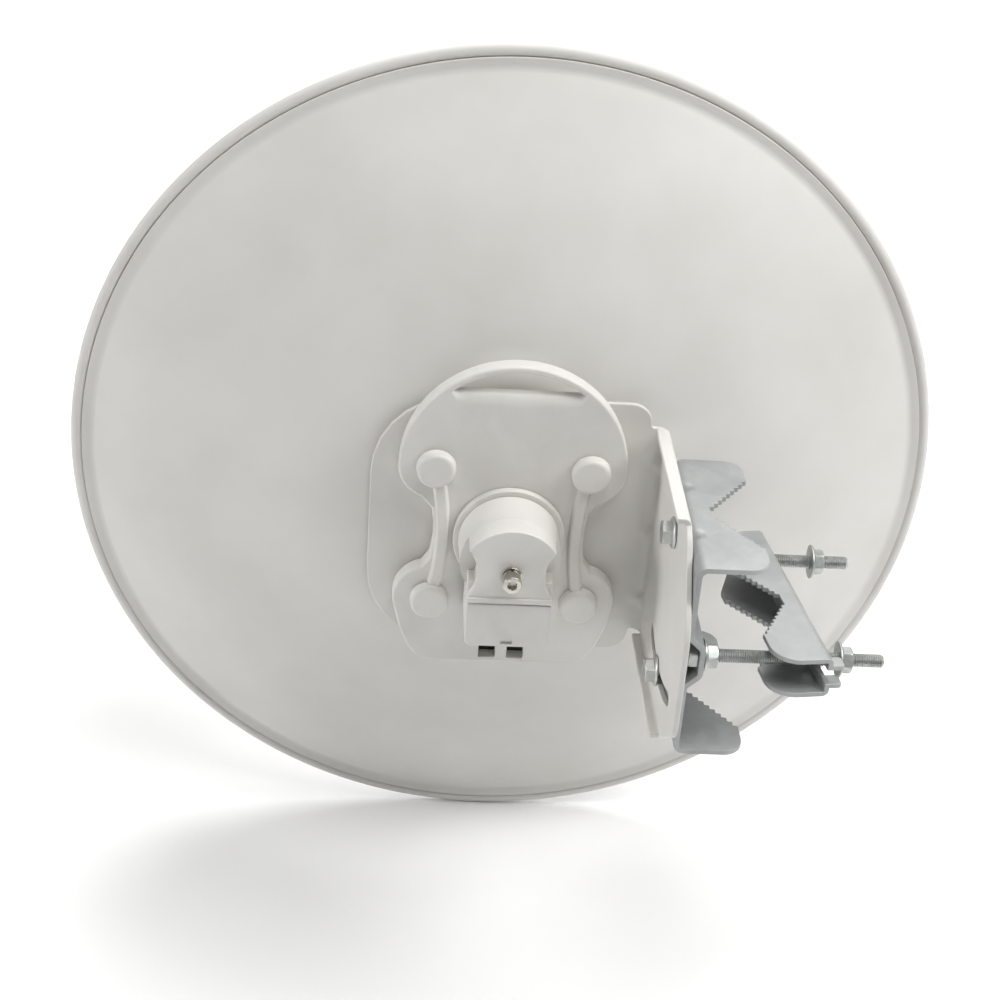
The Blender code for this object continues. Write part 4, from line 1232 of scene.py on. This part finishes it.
studio = {
    "floorZ": -0.2105,
    "front": -2.5,
    "bendY": 1.2,
    "bendRadius": 0.8,
    "wallTop": 3.0,
    "halfWidth": 3.0,
    "world": 0.05,
    "mirrored": 0.25,
    "aim": (-0.08, 0.05, 0.0),
    "lights": {
        "keyLight": {"place": (1.2, -0.3, 1.3), "size": 0.9, "power": 25},
        "topLight": {"place": (0.1, -0.55, 1.65), "size": 0.9, "power": 11},
        "leftLight": {"place": (-1.7, -0.1, 0.5), "size": 0.7, "power": 12},
        "floorLight": {
            "place": (0.0, 1.2, 1.6), "aim": (0.0, 1.2, -0.2), "size": 1.4, "power": 17, "spread": 120
        },
    },
}

paper = {
    "shader": {"Roughness": 0.9},
    "tones": ((0.3, "#f7f7f7"), (0.7, "#fbfbfb")),
    "broad": {"Scale": 1 / 0.3, "Detail": 3.0},
}


def makeStage(values):
    # A seamless sweep: flat floor, then y and z follow a quarter circle up to the backdrop
    floor, bendY, radius = values["floorZ"], values["bendY"], values["bendRadius"]
    bend = arcPoints((bendY, floor + radius), radius, -90, 0, 24)
    wallTop = [bendY + radius, floor + values["wallTop"]]
    path = np.concatenate([[[values["front"], floor]], bend, [wallTop]])
    x, y = np.meshgrid([-values["halfWidth"], values["halfWidth"]], path[:, 0], indexing="ij")
    z = np.broadcast_to(path[:, 1], x.shape)
    points = np.stack([x, y, z], -1).reshape(-1, 3)
    obj = makeMesh("floorSweep", points, [gridFaces(2, len(path))])
    obj.data.shade_smooth()
    obj.data.materials.append(makeSurface("paper, pale and matt", paper))


def addLight(name, values, aim):
    # A disk that faces its aim
    light = bpy.data.lights.new(name, "AREA")
    light.shape = "DISK"
    light.size = values["size"]
    light.energy = values["power"]
    light.spread = math.radians(values.get("spread", 180))
    obj = addObject(name, light)
    obj.location = values["place"]
    away = Vector(values.get("aim", aim)) - Vector(values["place"])
    obj.rotation_euler = away.to_track_quat("-Z", "Y").to_euler()


def makeLights(values):
    bpy.context.scene.view_settings.view_transform = "Standard"
    world = bpy.data.worlds.new("studio")
    world.use_nodes = True
    tree = world.node_tree
    background = tree.nodes["Background"]
    background.inputs["Color"].default_value = (1, 1, 1, 1)
    # Mirror-like rays see a brighter room than the one that lights the part, as in a white tent
    mirrorRay = addNode(tree, "ShaderNodeLightPath").outputs["Is Glossy Ray"]
    brightness = {"operation": "MULTIPLY_ADD", 1: values["mirrored"], 2: values["world"]}
    strength = addNode(tree, "ShaderNodeMath", brightness, {0: mirrorRay})
    tree.links.new(strength.outputs[0], background.inputs["Strength"])
    bpy.context.scene.world = world
    for name, light in values["lights"].items():
        addLight(name, light, values["aim"])


camera = {
    "sensor": 36,
    "focal": 1.9,  # in sensor widths
    "place": (-0.1394, -0.6978, 0.4479),
    "pitch": 29.71,
    "yaw": 4.25,
    "roll": -4.43,
}


def makeCamera(values):
    # ahead = (sin yaw cos pitch, cos yaw cos pitch, -sin pitch); roll then turns the picture about it
    pitch, yaw, roll = (math.radians(values[key]) for key in ("pitch", "yaw", "roll"))
    ahead = Vector((math.sin(yaw) * math.cos(pitch), math.cos(yaw) * math.cos(pitch), -math.sin(pitch)))
    right = Vector((math.cos(yaw), -math.sin(yaw), 0))
    down = ahead.cross(right)
    across = right * math.cos(roll) + down * math.sin(roll)
    below = down * math.cos(roll) - right * math.sin(roll)
    turn = Matrix((across, -below, -ahead)).transposed()
    data = bpy.data.cameras.new("photoCamera")
    data.sensor_width = values["sensor"]
    data.lens = values["focal"] * values["sensor"]
    obj = addObject("photoCamera", data)
    obj.matrix_world = Matrix.Translation(values["place"]) @ turn.to_4x4()
    bpy.context.scene.camera = obj


makeStage(studio)
makeLights(studio)
makeCamera(camera)
print("studio done")
